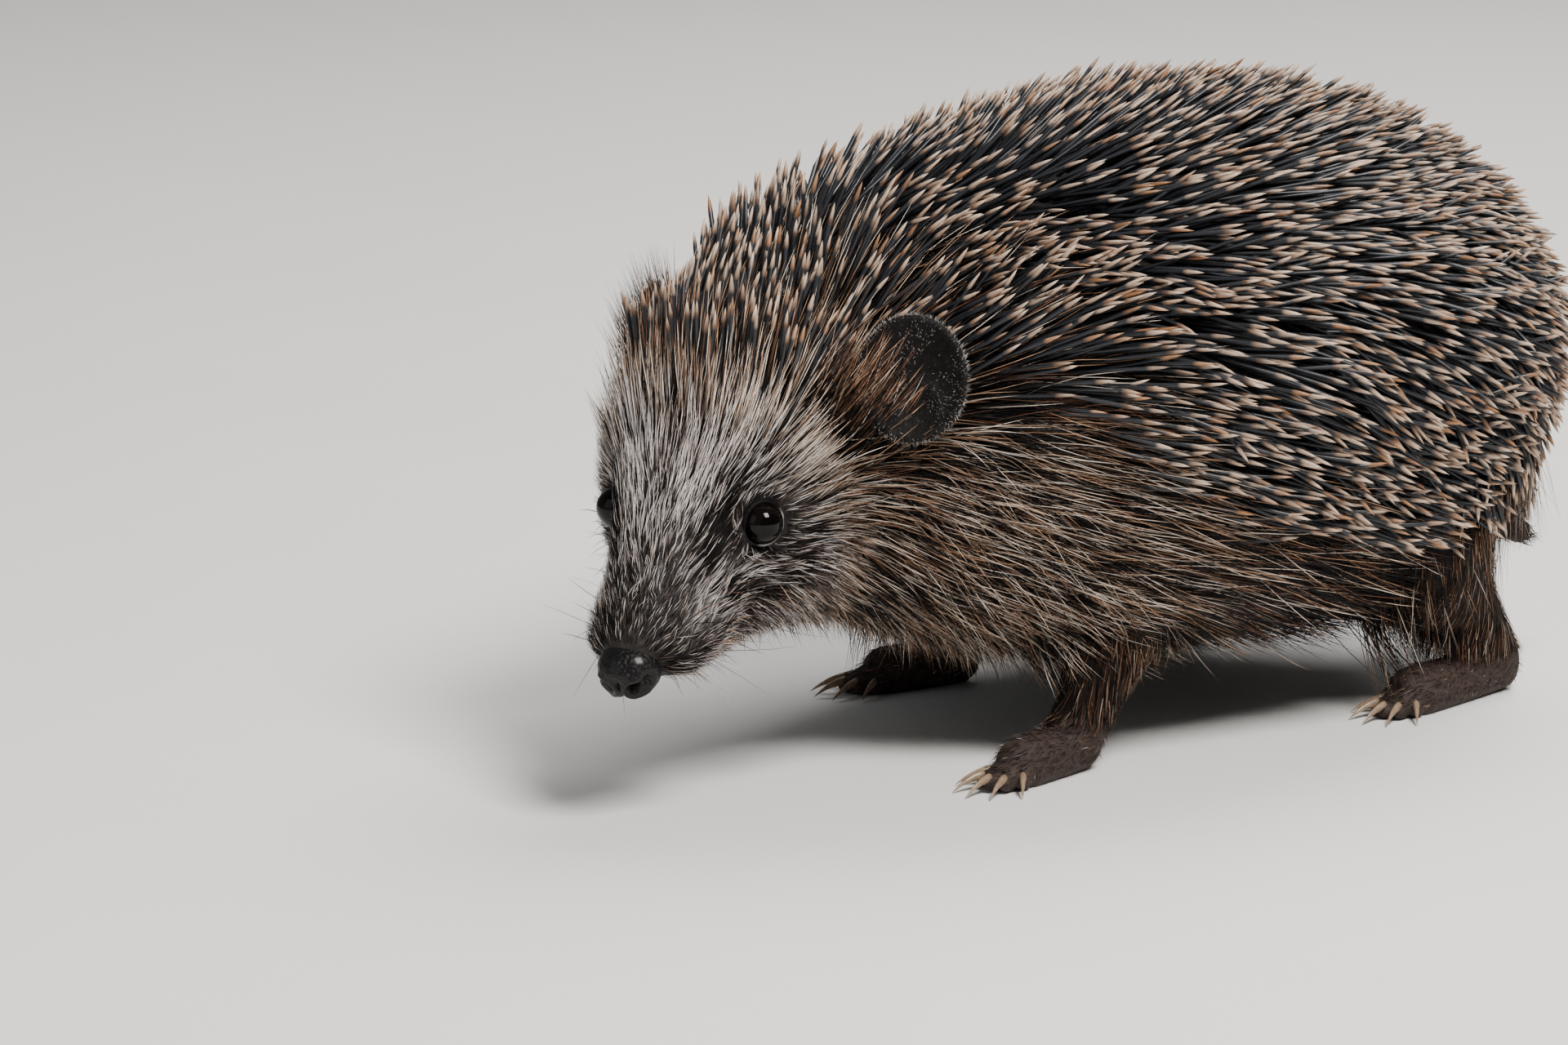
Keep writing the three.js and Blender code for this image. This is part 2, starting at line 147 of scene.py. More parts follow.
# %% Shapes and how they melt
def ellipsoid(points, centre, axes, half):
    """k0 (k0 - 1) / k1: k0 is the length of the offset over the half sizes, k1 over their squares."""
    offset = (points - centre) @ axes.T
    scaled = np.linalg.norm(offset / half, axis=-1)
    steepness = np.linalg.norm(offset / np.square(half), axis=-1)
    return scaled * (scaled - 1) / np.maximum(steepness, 1e-9)


def rod(points, start, end, start_radius, end_radius):
    """The distance to the nearest point of the segment, less a radius that changes evenly along it."""
    along = end - start
    t = np.clip((points - start) @ along / (along @ along), 0, 1)
    nearest = start + t[..., None] * along
    return np.linalg.norm(points - nearest, axis=-1) - mix(start_radius, end_radius, t)


def melt(first, second, blend):
    """The smaller of two distances, less a quarter of blend times the square of how nearly they tie."""
    overlap = np.maximum(blend - np.abs(first - second), 0) / blend
    return np.minimum(first, second) - overlap * overlap * blend / 4


# %% [markdown]
# ## Trunk and head
#
# Seen without its spines, the body is a low barrel that runs into the skull with hardly a neck, and
# the face narrows to a long soft snout. A sculpt would catch more muscle, but the coat hides it. A
# dozen masses are enough, and each can be named: barrel, rump, shoulders, cheeks, whisker pads.

# %% The trunk and the head
BARREL = ((0, 6, 65.5), (50, 73, 42))
RUMP = ((0, 38, 57), (43, 42.5, 38.5))
SHOULDERS = ((0, -31, 60), (40, 37, 39))
FLANKS = ((0, 2, 38), (45, 66, 22))
NAPE = ((-5, -60, 73), (19, 22, 25))
NECK_START = np.array([-2.0, -52.0, 54.0])
NECK_RADII = (25, 18.5)
THROAT_START = np.array([-2.0, -56.0, 42.0])
THROAT_RADII = (13, 11.5)


def trunk_and_head(points):
    """Melts the masses of the trunk, then the neck, skull, snout, jaw, cheeks and whisker pads."""
    near = ellipsoid(points, BARREL[0], WORLD, BARREL[1])
    for (centre, half), blend in ((RUMP, 14), (SHOULDERS, 14), (FLANKS, 10)):
        near = melt(near, ellipsoid(points, centre, WORLD, half), blend)
    near = melt(near, rod(points, NECK_START, on_head(-28, 0, -2), *NECK_RADII), 12)
    near = melt(near, ellipsoid(points, NAPE[0], WORLD, NAPE[1]), 12)
    skull = ellipsoid(points, on_head(-22, 0, 1), HEAD, (24, 18.5, 16.5))
    face = ellipsoid(points, on_head(-4, 0, -1), HEAD, (18, 14.5, 11.5))
    snout = rod(points, on_head(0, 0, -2), on_head(26, 0, -4), 11.8, 6.4)
    jaw = rod(points, on_head(-8, 0, -14), on_head(19, 0, -12), 12.6, 4.6)
    throat = rod(points, THROAT_START, on_head(-6, 0, -15), *THROAT_RADII)
    for mass, blend in ((skull, 1), (face, 8), (snout, 6), (jaw, 5), (throat, 6)):
        near = melt(near, mass, blend)
    for side in (1, -1):
        cheek = ellipsoid(points, on_head(-14, side * 12, -8), HEAD, (17, 10, 11))
        pad = ellipsoid(points, on_head(18, side * 6, -6.5), HEAD, (10, 5.6, 5.6))
        near = melt(melt(near, cheek, 8), pad, 4)
    return near


top_of_back = np.linspace((0, 0, 90), (0, 0, 120), 301)
print("bare back at", top_of_back[np.argmin(np.abs(trunk_and_head(top_of_back))), 2].round(1), "mm")

# %% [markdown]
# ## Limbs and tail
#
# A hedgehog walks on its whole soles, on short legs with five toes to a foot, and its tail is a
# stub. Thigh, shin, foot and toes could be one bent tube. Separate rods melted together let the
# knuckles and pads stand out, and the same function serves all four limbs.

# %% The limbs and the tail
FRONT = {"radii": (12, 7.5, 4.6), "foot_radii": (4.4, 4.8)}
HIND = {"radii": (17, 11, 4.6), "foot_radii": (4.2, 5)}


def limb_row(kind, side, joints, heel, toes):
    """A limb's radii with its side, its joints from hip to ankle, and its foot from heel to toes."""
    return {**kind, "side": side, "joints": joints, "heel": heel, "toes": toes}


LIMBS = {
    "front_left": limb_row(
        FRONT, 1, ((26, -36, 46), (31, -28, 26), (33, -39, 8)), (33, -40, 4), (35.5, -54, 3.4)
    ),
    "front_right": limb_row(
        FRONT, -1, ((-26, -30, 46), (-31, -18, 26), (-32, -14, 8)), (-32, -14, 4), (-34.5, -28, 3.4)
    ),
    "hind_left": limb_row(
        HIND, 1, ((27, 50, 46), (34, 40, 28), (34, 60, 8)), (34, 61, 4), (38, 37, 3.4)
    ),
    "hind_right": limb_row(
        HIND, -1, ((-27, 40, 46), (-34, 28, 28), (-34, 46, 8)), (-34, 47, 4), (-38, 23, 3.4)
    ),
}
TOE_SPREAD = np.radians([-38, -17, 0, 17, 40])
TOE_LENGTH = (5.5, 8, 8.8, 8, 5.5)
TOE_RADIUS = 1.7
KNUCKLE_RADIUS = 1.75
TOE_PAD_RADIUS = 1.55
TOE_BLEND = 0.5
TOE_BASE_HEIGHT = 3.2
TOE_TIP_HEIGHT = 1.7
TAIL = (np.array([0.0, 74.0, 33.0]), np.array([1.0, 98.0, 19.5]))
TAIL_RADII = (5, 2.4)
LIMB_REACH = 26  # farther than this from its joints, a limb's distance isn't worked out


# %% Toes, limbs and tail as distances
def toes_of(limb):
    """Base, tip and heading of each toe: the foot's direction turned about Z by the toe's spread."""
    front, heel = np.array(limb["toes"]), np.array(limb["heel"])
    along = unit((front - heel) * (1, 1, 0))
    for spread, length in zip(TOE_SPREAD, TOE_LENGTH):
        angle = limb["side"] * spread
        heading = along * np.cos(angle) + np.cross(WORLD[2], along) * np.sin(angle)
        base, tip = front + heading, front + heading * length
        base[2], tip[2] = TOE_BASE_HEIGHT, TOE_TIP_HEIGHT
        yield base, tip, heading


def one_limb(points, limb):
    """Melts thigh, shin and foot as rods, then five toes with a knuckle and a pad each."""
    hip, knee, ankle = (np.array(joint, float) for joint in limb["joints"])
    heel, front = np.array(limb["heel"], float), np.array(limb["toes"], float)
    thick, middle, thin = limb["radii"]
    near = rod(points, hip, knee, thick, middle)
    near = melt(near, rod(points, knee, ankle, middle, thin), 6)
    near = melt(near, rod(points, heel, front, *limb["foot_radii"]), 3)
    for base, tip, _ in toes_of(limb):
        toe = rod(points, base, tip, TOE_RADIUS, TOE_RADIUS * 0.8)
        knuckle = points - mix(base, tip, 0.55) - (0, 0, 0.4)
        pad = points - mix(base, tip, 0.8) + (0, 0, 0.4)
        for offset, radius in ((knuckle, KNUCKLE_RADIUS), (pad, TOE_PAD_RADIUS)):
            toe = melt(toe, np.linalg.norm(offset, axis=-1) - radius, TOE_BLEND)
        near = melt(near, toe, TOE_BLEND)
    return near


def limbs_field(points):
    """The smallest distance to any of the four limbs."""
    near = np.full(len(points), 1e3)
    for limb in LIMBS.values():
        ends = (limb["joints"][0], limb["toes"])
        box_low, box_high = np.min(ends, axis=0) - LIMB_REACH, np.max(ends, axis=0) + LIMB_REACH
        close = np.all((points > box_low) & (points < box_high), axis=-1)
        near[close] = np.minimum(near[close], one_limb(points[close], limb))
    return near


def tail_field(points):
    """The distance to the tail, a rod that thins towards its tip."""
    return rod(points, *TAIL, *TAIL_RADII)


def limbs_and_tail(points):
    """The smaller distance to any limb or to the tail."""
    return np.minimum(limbs_field(points), tail_field(points))


print("limbs:", ", ".join(LIMBS), "with", 4 * len(TOE_LENGTH), "toes")

# %% [markdown]
# ## Ears
#
# The ears are thin, round, cupped and nearly bare, and stand out of the coat behind the cheeks. A
# bent disc modelled apart would show a seam where it meets the head. As a field, a dished coin with
# a rounded rim melts into the skull, and a ring on its front makes the fold of the conch.

# %% The ears
EARS = {
    "left": {"centre": (-32, 31.6, 4.4), "facing": (0.66, 0.3, 0.69), "half": (9.6, 11)},
    "right": {"centre": (-39, -23.5, 0), "facing": (0.3, -0.75, 0.5), "half": (9.8, 10.2)},
}
EAR_CUP = 3.6
EAR_EDGE = 1.1  # half the thickness, and the radius of the rim
EAR_MIDDLES = [on_head(*ear["centre"]) for ear in EARS.values()]


def ear_axes(ear):
    """Across, tall and outwards: outwards is where the ear faces, and across is level."""
    outwards = unit(np.array(ear["facing"]) @ HEAD)
    across = unit(np.cross(WORLD[2], outwards))
    return np.stack([across, np.cross(outwards, across), outwards])


def in_ear(points, ear):
    """Place across and up the ear as shares of its half sizes, and height over its cupped middle."""
    x, y, z = ((points - on_head(*ear["centre"])) @ ear_axes(ear).T).T
    x, y = x / ear["half"][0], y / ear["half"][1]
    rim = np.minimum(x * x + y * y, 1.4)
    return x, y, z - EAR_CUP * (rim - 0.5)


def one_ear(points, ear):
    """A cupped coin: the distance to a dished disc, less the radius of its rounded rim."""
    x, y, height = in_ear(points, ear)
    beyond = (np.hypot(x, y) - 1) * np.mean(ear["half"]) + EAR_EDGE
    fold = 0.7 * np.exp(-np.square((np.hypot(x - 0.1, y + 0.55) - 0.42) / 0.13))
    fold = fold * (height > -0.2)
    return np.hypot(np.maximum(beyond, 0), height) - EAR_EDGE - fold * ramp(beyond, 0, -3)


def ears_field(points):
    """The smaller distance to either ear."""
    return np.minimum(one_ear(points, EARS["left"]), one_ear(points, EARS["right"]))


def ear_radius(points):
    """The way out from the middle of the point's own ear, as a share of the way to its rim."""
    shares = [np.hypot(*in_ear(points, ear)[:2]) for ear in EARS.values()]
    return np.where(points[:, 0] > 0, *shares)


print("middles of the ears in mm:", np.round(EAR_MIDDLES, 1).tolist())

# %% [markdown]
# ## The coat's depth
#
# The tips of the spines stand about a centimetre off the skin on the back, and the short hair of
# the snout only a millimetre. This depth is a function of place, with a smooth ramp from each
# region to the next. It is taken off the distance to the skin to find the surface that the tips
# reach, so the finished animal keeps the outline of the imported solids.

# %% How deep the coat is
EAR_PARTING = 3
ORBIT_DEPTH = 1.2
ORBIT_REACH = 10
LEG_FUR = 1.2
EAR_FUZZ = 0.6


def nearest_of(points, places):
    """The distance to the nearest of a few places."""
    return np.min([np.linalg.norm(points - place, axis=-1) for place in places], axis=0)


def orbit(points):
    """1 at the rim of an eye, falling to 0 at the edge of the socket."""
    return ramp(nearest_of(points, EYES), ORBIT_REACH, EYE_RADIUS)


def open_coat(points):
    """The depth of the coat away from eyes and ears, region by region, from snout to rump."""
    ahead, left, up = in_head(points)
    aside = np.abs(left)
    muzzle = 1.6 * ramp(aside, 3, 8) * ramp(up, 0, -5) * ramp(ahead, 0, 8)
    chin = 3.5 * ramp(up, -10, -18) * ramp(ahead, 22, 6)
    face = mix(1.3, 3.3, ramp(ahead, 8, -6)) + muzzle + chin
    crest = 5 * ramp(ahead, -44, -24) * ramp(up, 4, 18)
    crown = mix(5.2 + 0.4 * chin, 8.5 + crest, ramp(up, 2, 12))
    head = mix(face, crown, ramp(ahead, -5, -22))
    nape = ramp(ahead, -30, -44) * ramp(ahead, -82, -56)
    spines = mix(10.5, 13, nape)
    hem = mix(5, 14, ramp(np.abs(points[:, 0]), 10, 30))
    below = mix(8.5, hem, ramp(points[:, 2], 40, 20))
    trunk = mix(below, spines, ramp(points[:, 2], 48, 70))
    return mix(head, trunk, ramp(ahead, -34, -64))


def body_coat(points):
    """The open coat, thinned round the eyes and parted round the ears."""
    depth = open_coat(points) * (1 - 0.8 * orbit(points))
    return mix(depth, EAR_PARTING, ramp(nearest_of(points, EAR_MIDDLES), 26, 6))


back_and_snout = np.array([[0, 0, 106], on_head(24, 0, 2)])
print("coat over back and snout in mm:", body_coat(back_and_snout).round(1))

# %% [markdown]
# ## The whole skin
#
# The skin is one piece from snout to tail, and the closed mouth is only a groove in it. Joining
# finished meshes would leave a line at every joint. The fields are melted before any mesh exists,
# so there is none.

# %% The whole skin
MOUTH_FRONT = on_head(31, 0, -9.2)
MOUTH_BACK = on_head(6, 0, -12.6)
MOUTH_DEPTH = 1.1
MOUTH_WIDTH = 0.8


def mouth_crease(points):
    """A shallow groove: a bell curve of the height over the mouth line, faded out behind its corner."""
    along = unit(MOUTH_FRONT - MOUTH_BACK)
    upwards = unit(np.cross(along, leftward))
    height = (points - MOUTH_BACK) @ upwards
    ahead = (points - MOUTH_BACK) @ along
    return MOUTH_DEPTH * np.exp(-np.square(height / MOUTH_WIDTH)) * ramp(ahead, -2, 5)


def flesh(points):
    """The trunk and the head, dipped round each eye."""
    return trunk_and_head(points) + ORBIT_DEPTH * orbit(points)


def skin_field(points):
    """Flesh with its mouth, melted with limbs, tail and ears, and cut flat at the floor."""
    near = flesh(points) + mouth_crease(points)
    near = melt(near, limbs_field(points), 5)
    near = melt(near, tail_field(points), 3)
    near = melt(near, ears_field(points), 2)
    return np.maximum(near, -points[:, 2])


def coat_depth(points):
    """The depth of the body's coat, or of the short hair of limbs, tail and ears where they are nearer."""
    body = flesh(points)
    depth = mix(body_coat(points), LEG_FUR, ramp(body - limbs_and_tail(points), 0, 6))
    return mix(depth, EAR_FUZZ, ramp(body - ears_field(points), 1, 4))


def slope(field, points, step=0.05):
    """The unit direction in which a field rises fastest, from central differences."""
    rise = [field(points + axis * step) - field(points - axis * step) for axis in WORLD]
    return unit(np.stack(rise, axis=-1))


# %% [markdown]
# ## From the field to a mesh
#
# The skin has a snout, four limbs, toes and ears, so no single grid of two parameters covers it.
# Metaballs or a voxel remesh could, but they would round the small forms off. Here a net is
# stretched over the field instead: space is cut into small cubes, each cube that the skin crosses
# holds one vertex, and four neighbouring cubes make one face. Then the face, feet and ears are
# subdivided, and every vertex slides down the field's slope until it lies exactly on the skin.

# %% A net over the field
NET_STEP = 1.3
SIDES = (slice(0, -1), slice(1, None))
OTHER_AXES = ([1, 2], [0, 2], [0, 1])


def edge_ends(axis, *across):
    """Slices to the two ends of all grid edges along one axis, given the slices across it."""
    ends = []
    for along in SIDES:
        slices = list(across)
        slices.insert(axis, along)
        ends.append(tuple(slices))
    return ends


def crossings(values):
    """For each cube, the mean of the points where its edges cross zero, and whether any do."""
    cubes = np.array(values.shape) - 1
    total = np.zeros((*cubes, 3))
    count = np.zeros(cubes, int)
    for axis, others in enumerate(OTHER_AXES):
        for corner in ((0, 0), (0, 1), (1, 0), (1, 1)):
            near, far = edge_ends(axis, SIDES[corner[0]], SIDES[corner[1]])
            a, b = values[near], values[far]
            crosses = (a < 0) != (b < 0)
            place = np.zeros((*a.shape, 3))
            place[..., axis] = a / np.where(crosses, a - b, 1)
            place[..., others] = corner
            total += np.where(crosses[..., None], place, 0)
            count += crosses
    return total / np.maximum(count, 1)[..., None], count > 0


# %% The faces and vertices of the net
def net_faces(inside, number):
    """One quad for each inner grid edge with one end inside, turned so that it faces outwards."""
    quads = []
    for axis, others in enumerate(OTHER_AXES):
        near, far = edge_ends(axis, slice(1, -1), slice(1, -1))
        crossed = np.argwhere(inside[near] != inside[far])
        outward = inside[near][tuple(crossed.T)]
        corners = []
        for corner in ((0, 0), (1, 0), (1, 1), (0, 1)):
            cube = crossed.copy()
            cube[:, others] += corner
            corners.append(number[tuple(cube.T)])
        quad = np.stack(corners, axis=1)
        turn = ~outward if axis != 1 else outward
        quad[turn] = quad[turn][:, ::-1]
        quads.append(quad)
    return np.concatenate(quads)


def net_over(field, low, high, step):
    """Vertices and quads of the net where the field is zero, on a grid of cubes of that step."""
    steps = [np.arange(a, b + step, step) for a, b in zip(low, high)]
    grid = np.stack(np.meshgrid(*steps, indexing="ij"), axis=-1)
    values = field(grid.reshape(-1, 3)).reshape(grid.shape[:3])
    place, crossed = crossings(values)
    number = np.full(crossed.shape, -1)
    number[crossed] = np.arange(crossed.sum())
    points = np.array(low) + step * (np.argwhere(crossed) + place[crossed])
    return points, net_faces(values < 0, number)


def onto(field, points, rounds=4):
    """Slides each point down the slope by its distance, a few times, until it lies on the surface."""
    for _ in range(rounds):
        points = points - slope(field, points) * field(points)[:, None]
    return points


# %% [markdown]
# ## Meshes from arrays
#
# Every piece below is worked out as arrays of points in mm. These helpers turn points and faces
# into objects in metres, read the points back, and cut or turn faces where Blender does it best.

# %% Making mesh objects
def linked(name, data):
    """A new object for that data, in the scene."""
    item = bpy.data.objects.new(name, data)
    bpy.context.scene.collection.objects.link(item)
    return item


def new_object(name, points, faces, material=None):
    """A smooth mesh object at the origin, from points in mm and a list or array of faces."""
    mesh = bpy.data.meshes.new(name)
    corners = faces.tolist() if isinstance(faces, np.ndarray) else faces
    mesh.from_pydata(((points + SHIFT) * MM).tolist(), [], corners)
    mesh.shade_smooth()
    if material:
        mesh.materials.append(material)
    return linked(name, mesh)


def points_of(piece):
    """The vertices of a piece, in mm before the shift."""
    flat = np.zeros(len(piece.data.vertices) * 3, np.float32)
    piece.data.vertices.foreach_get("co", flat)
    return flat.reshape(-1, 3).astype(float) / MM - SHIFT


def place_points(piece, points):
    """Puts vertices in mm back into a piece's mesh."""
    piece.data.vertices.foreach_set("co", ((points + SHIFT) * MM).ravel().astype(np.float32))
    piece.data.update()


def edited(piece, change):
    """Runs a change on a piece's mesh in Blender's editing form, and writes the result back."""
    net = bmesh.new()
    net.from_mesh(piece.data)
    change(net)
    net.to_mesh(piece.data)
    net.free()


def refine(piece, chosen):
    """Cuts every edge whose two ends are chosen in half, with a grid inside each whole face."""
    def halve(net):
        edges = [edge for edge in net.edges if all(chosen[end.index] for end in edge.verts)]
        bmesh.ops.subdivide_edges(net, edges=edges, cuts=1, use_grid_fill=True)

    edited(piece, halve)


def closed_piece(name, points, faces, material):
    """A new object whose faces are turned outwards by Blender's own rule."""
    piece = new_object(name, points, faces, material)
    edited(piece, lambda net: bmesh.ops.recalc_face_normals(net, faces=net.faces))
    piece.data.shade_smooth()
    return piece


# %% [markdown]
# ## The skin's shape
#
# Most of the skin lies under the coat and can be coarse, while face, ears and feet show. One fine
# net over everything would take millions of faces. The net is laid at 1.3 mm and refined twice, first
# on the parts that show and then at the eyes, the mouth and the tip of the snout.

# %% The skin's shape
def fine_parts(points):
    """The head, the ears, and the feet near the floor: the parts that the coat doesn't hide."""
    feet = (points[:, 2] < 13) & (limbs_field(points) < 2)
    return (in_head(points)[0] > -24) | feet | (ears_field(points) < 2)


def finest_parts(points):
    """The eye sockets, the tip of the snout and the mouth."""
    ahead = in_head(points)[0]
    mouth = (mouth_crease(points) > 0.15) & (ahead > 4)
    return (nearest_of(points, EYES) < 7.5) | (ahead > 21) | mouth


SWELLING = 0.25
LOW = np.array([-58.0, -136.0, -4.0])
HIGH = np.array([58.0, 104.0, 116.0])


def around_all(points):
    """The skin's field, swollen a little so that no thin edge is lost between two cubes."""
    return skin_field(points) - SWELLING


skin_points, skin_quads = net_over(around_all, LOW, HIGH, NET_STEP)
skin_piece = new_object("skin", skin_points, skin_quads)
print("net:", len(skin_points), "vertices,", len(skin_quads), "faces")

for parts in (fine_parts, finest_parts):
    place_points(skin_piece, onto(skin_field, points_of(skin_piece), 3))
    refine(skin_piece, parts(points_of(skin_piece)))
place_points(skin_piece, onto(skin_field, points_of(skin_piece), 4))
skin_piece.data.shade_smooth()
print("skin:", len(skin_piece.data.vertices), "vertices after refining")

# %% [markdown]
# ## Markings
#
# The same markings run through the skin and the hair on it: a pale forehead and brow, a dark patch
# between eye and nose, tan and rust cheeks, and a near-black belly. Painting them by hand would
# give the two coats different edges. Here six kinds of hair are named, and a list of soft round
# patches in the head's own axes says which kinds grow where. The skin takes the mean colour of the
# kinds at each of its vertices, and each hair is one kind, drawn with those odds. The mixes give
# cream, tan, rust and dark. On the front of the face, grey-white stands in for cream, and mouse
# brown for tan and rust.

# %% Kinds of hair and where they grow
KINDS = np.array(
    [
        [0.66, 0.55, 0.46],  # cream
        [0.36, 0.215, 0.13],  # tan
        [0.14, 0.062, 0.034],  # rust
        [0.009, 0.007, 0.0065],  # dark
        [0.82, 0.74, 0.70],  # the face's grey-white
        [0.19, 0.14, 0.12],  # the face's mouse brown
    ]
)
DARK = 3
# the flank hair's own grizzle, with its dark share raised as painted shade of the low flank
FLANK_MIX_WITH_SHADE = (0.10, 0.11, 0.06, 0.73)
BELLY_MIX = (0.03, 0.06, 0.06, 0.85)
LEG_MIX = (0.03, 0.12, 0.13, 0.72)
FACE_MIX = (0.22, 0.12, 0.04, 0.62)

# Ahead of, beside and above the brow point, the patch's reach each way, its strength and its mix.
PATCHES = (
    ((-15, 0, 20), (14, 34, 18), 1.0, (0.02, 0.11, 0.10, 0.77)),  # crown, before the spines
    ((-4, 10.5, 11), (6.5, 5.5, 6.5), 0.65, (0.66, 0.06, 0.0, 0.28)),  # forehead's upper corner
    ((6, 5.5, 9), (8, 6, 9), 0.95, (0.70, 0.06, 0.0, 0.24)),  # forehead
    ((-2, 0, 14), (22, 1.8, 12), 0.8, (0.14, 0.10, 0.08, 0.68)),  # dark middle line
    ((7, 11.5, 7), (7, 3.4, 6), 1.0, (0.02, 0.05, 0.0, 0.93)),  # between forehead and brow
    ((-8, 20.5, 5), (8, 7, 5.5), 1.0, (0.80, 0.03, 0.01, 0.16)),  # brow
    ((13, 0, 8), (12, 4, 6), 0.85, (0.42, 0.06, 0.03, 0.49)),  # bridge of the nose
    ((10.5, 9.5, 4), (6.5, 3.8, 5), 1.0, (0.01, 0.03, 0.0, 0.96)),  # before the eye
    ((7, 14, -3.5), (4, 4, 2.6), 0.85, (0.46, 0.06, 0.03, 0.45)),  # under the eye
    ((19, 10, -1.5), (4.2, 3, 3), 1.0, (0.88, 0.02, 0.01, 0.09)),  # tuft on the whisker pad
    ((6, 12, -11), (9, 6, 4.5), 0.85, (0.05, 0.12, 0.0, 0.83)),  # dark band above the mouth
    ((9, 16, -13), (5, 4, 3), 0.85, (0.66, 0.10, 0.04, 0.20)),  # pale tuft at its corner
    ((9, 15, -8), (8, 5, 3.6), 0.9, (0.05, 0.10, 0.0, 0.85)),  # dark bar from there to the eye
    ((27, 3, -1), (6, 8, 8), 0.95, (0.07, 0.13, 0.0, 0.80)),  # behind the nose
    ((14, 8, -15), (14, 10, 4.5), 0.85, (0.14, 0.08, 0.05, 0.73)),  # lip and chin
    ((-9, 20, -2), (6, 6, 4), 0.7, (0.50, 0.10, 0.04, 0.36)),  # behind the eye
    ((-13, 22, -9), (11, 12, 8), 0.9, (0.20, 0.22, 0.12, 0.46)),  # cheek
    ((-25, 25, 6), (8, 7, 9), 1.0, (0.14, 0.32, 0.16, 0.38)),  # before the ear
    ((-36, 27, 17), (12, 10, 9), 0.9, (0.08, 0.38, 0.24, 0.30)),  # above the ear
    # behind the ear: dark hair, made darker still as painted shadow of the ear
    ((-40, 30, -6), (14, 14, 13), 1.0, (0.04, 0.06, 0.06, 0.84)),  # behind the ear
    ((-24, 8, -28), (24, 18, 10), 0.95, (0.03, 0.07, 0.05, 0.85)),  # throat
)


# %% The odds of each kind
def kinds_at(points):
    """The share of each kind: face, flank and belly mixes, each patch over them, then warm or cool."""
    ahead, left, up = in_head(points)
    on_face = ramp(ahead, -42, -22)[:, None]
    low = ramp(points[:, 2], 38, 24)[:, None]
    odds = mix(np.array(FLANK_MIX_WITH_SHADE), np.array(BELLY_MIX), low)
    odds = mix(odds, np.array(FACE_MIX), on_face)
    place = np.stack([ahead, np.abs(left), up], axis=-1)
    for centre, reach, strength, patch in PATCHES:
        offset = np.square((place - centre) / reach).sum(axis=-1)
        odds = mix(odds, np.array(patch), strength * np.exp(-offset)[:, None])
    legs = ramp(flesh(points) - limbs_field(points), 0, 5)[:, None]
    cream, tan, rust, dark = mix(odds, np.array(LEG_MIX), legs).T
    cool = ramp(ahead, -11, -1)
    warm = 1 - cool
    shares = (cream * warm, tan * warm, rust * warm, dark, cream * cool, (tan + rust) * cool)
    return np.stack(shares, axis=1)


print("markings:", len(PATCHES), "patches of", len(KINDS), "kinds of hair")

# %% [markdown]
# ## Where the spines grow
#
# The spines end in a clear hem: high behind the brow, low along the flanks, and round the rump.
# It could be drawn as a curve on the mesh. A height that falls off towards the tail and a line
# across the crown say the same, and both skin colour and strands can ask it.

# %% Where the spines grow
CROWN_HEM = 78.0
CROWN_FRONT = (-21.0, -0.2)  # ahead of the brow point, and its change with the way aside
HEM_LOW = 26  # all along the flank
HEM_RISE = 39.7  # added at the shoulder
SHOULDER = -44.2
HEM_FADE = 42


def mantle_hem(points):
    """Height of the spines' lower edge: its low, plus a rise that fades out towards the tail."""
    return HEM_LOW + HEM_RISE * np.exp(-((points[:, 1] - SHOULDER) / HEM_FADE))


def mantle(points):
    """1 where spine tips lie: above the hem, which levels out at the nape, and behind the forehead."""
    ahead, left, _ = in_head(points)
    hem = np.minimum(mantle_hem(points), CROWN_HEM)
    front = CROWN_FRONT[0] + CROWN_FRONT[1] * np.abs(left)
    return ramp(points[:, 2] - hem, -2.5, 2.5) * ramp(ahead - front, 2, -2)


print("hem at shoulder and rump in mm:", mantle_hem(np.array([[0, SHOULDER, 0], [0, 80, 0]])).round(1))

# %% [markdown]
# ## Materials
#
# Fur needs little from its material, because its strands are real: each strand's own colours are
# stored on its vertices, and a fine noise varies them. The skin reads its markings the same way and
# adds creases with two sizes of noise, with painted shade in the coarse creases. A strand-based hair
# shader would look as good, but the model has to carry its looks to other programs, so the plain
# Principled shader is used throughout.

# %% Node helpers
def new_material(name, **sockets):
    """A material whose Principled shader has the given sockets set by name, with _ for a space."""
    material = bpy.data.materials.new(name)
    material.use_nodes = True
    shader = material.node_tree.nodes["Principled BSDF"]
    for socket, value in sockets.items():
        shader.inputs[socket.replace("_", " ")].default_value = value
    return material, material.node_tree, shader


def add_node(tree, kind, feeds=None, **settings):
    """Adds a node, sets its properties or input sockets by name, and links what feeds its inputs."""
    node = tree.nodes.new(kind)
    for name, value in settings.items():
        if hasattr(node, name):
            setattr(node, name, value)
        else:
            node.inputs[name.replace("_", " ")].default_value = value
    for name, source in (feeds or {}).items():
        tree.links.new(source, node.inputs[name])
    return node


def object_place(tree):
    """Object coordinates, in metres."""
    return add_node(tree, "ShaderNodeTexCoord").outputs["Object"]


def noise_on_object(tree, scale, detail=3.0):
    """The value of a noise on Object coordinates. The scale is in waves to the metre."""
    place = {"Vector": object_place(tree)}
    return add_node(tree, "ShaderNodeTexNoise", place, Scale=scale, Detail=detail).outputs["Fac"]


def tinted(tree, shader, noise, low, high):
    """Base colour from the mesh's tint, times a number that runs from low to high with a noise."""
    tint = add_node(tree, "ShaderNodeAttribute", attribute_name="tint")
    limits = {"From_Min": 0.3, "From_Max": 0.7, "To_Min": low, "To_Max": high}
    span = add_node(tree, "ShaderNodeMapRange", {"Value": noise}, **limits)
    feeds = {"Vector": tint.outputs["Color"], "Scale": span.outputs["Result"]}
    times = add_node(tree, "ShaderNodeVectorMath", feeds, operation="SCALE")
    tree.links.new(times.outputs["Vector"], shader.inputs["Base Color"])


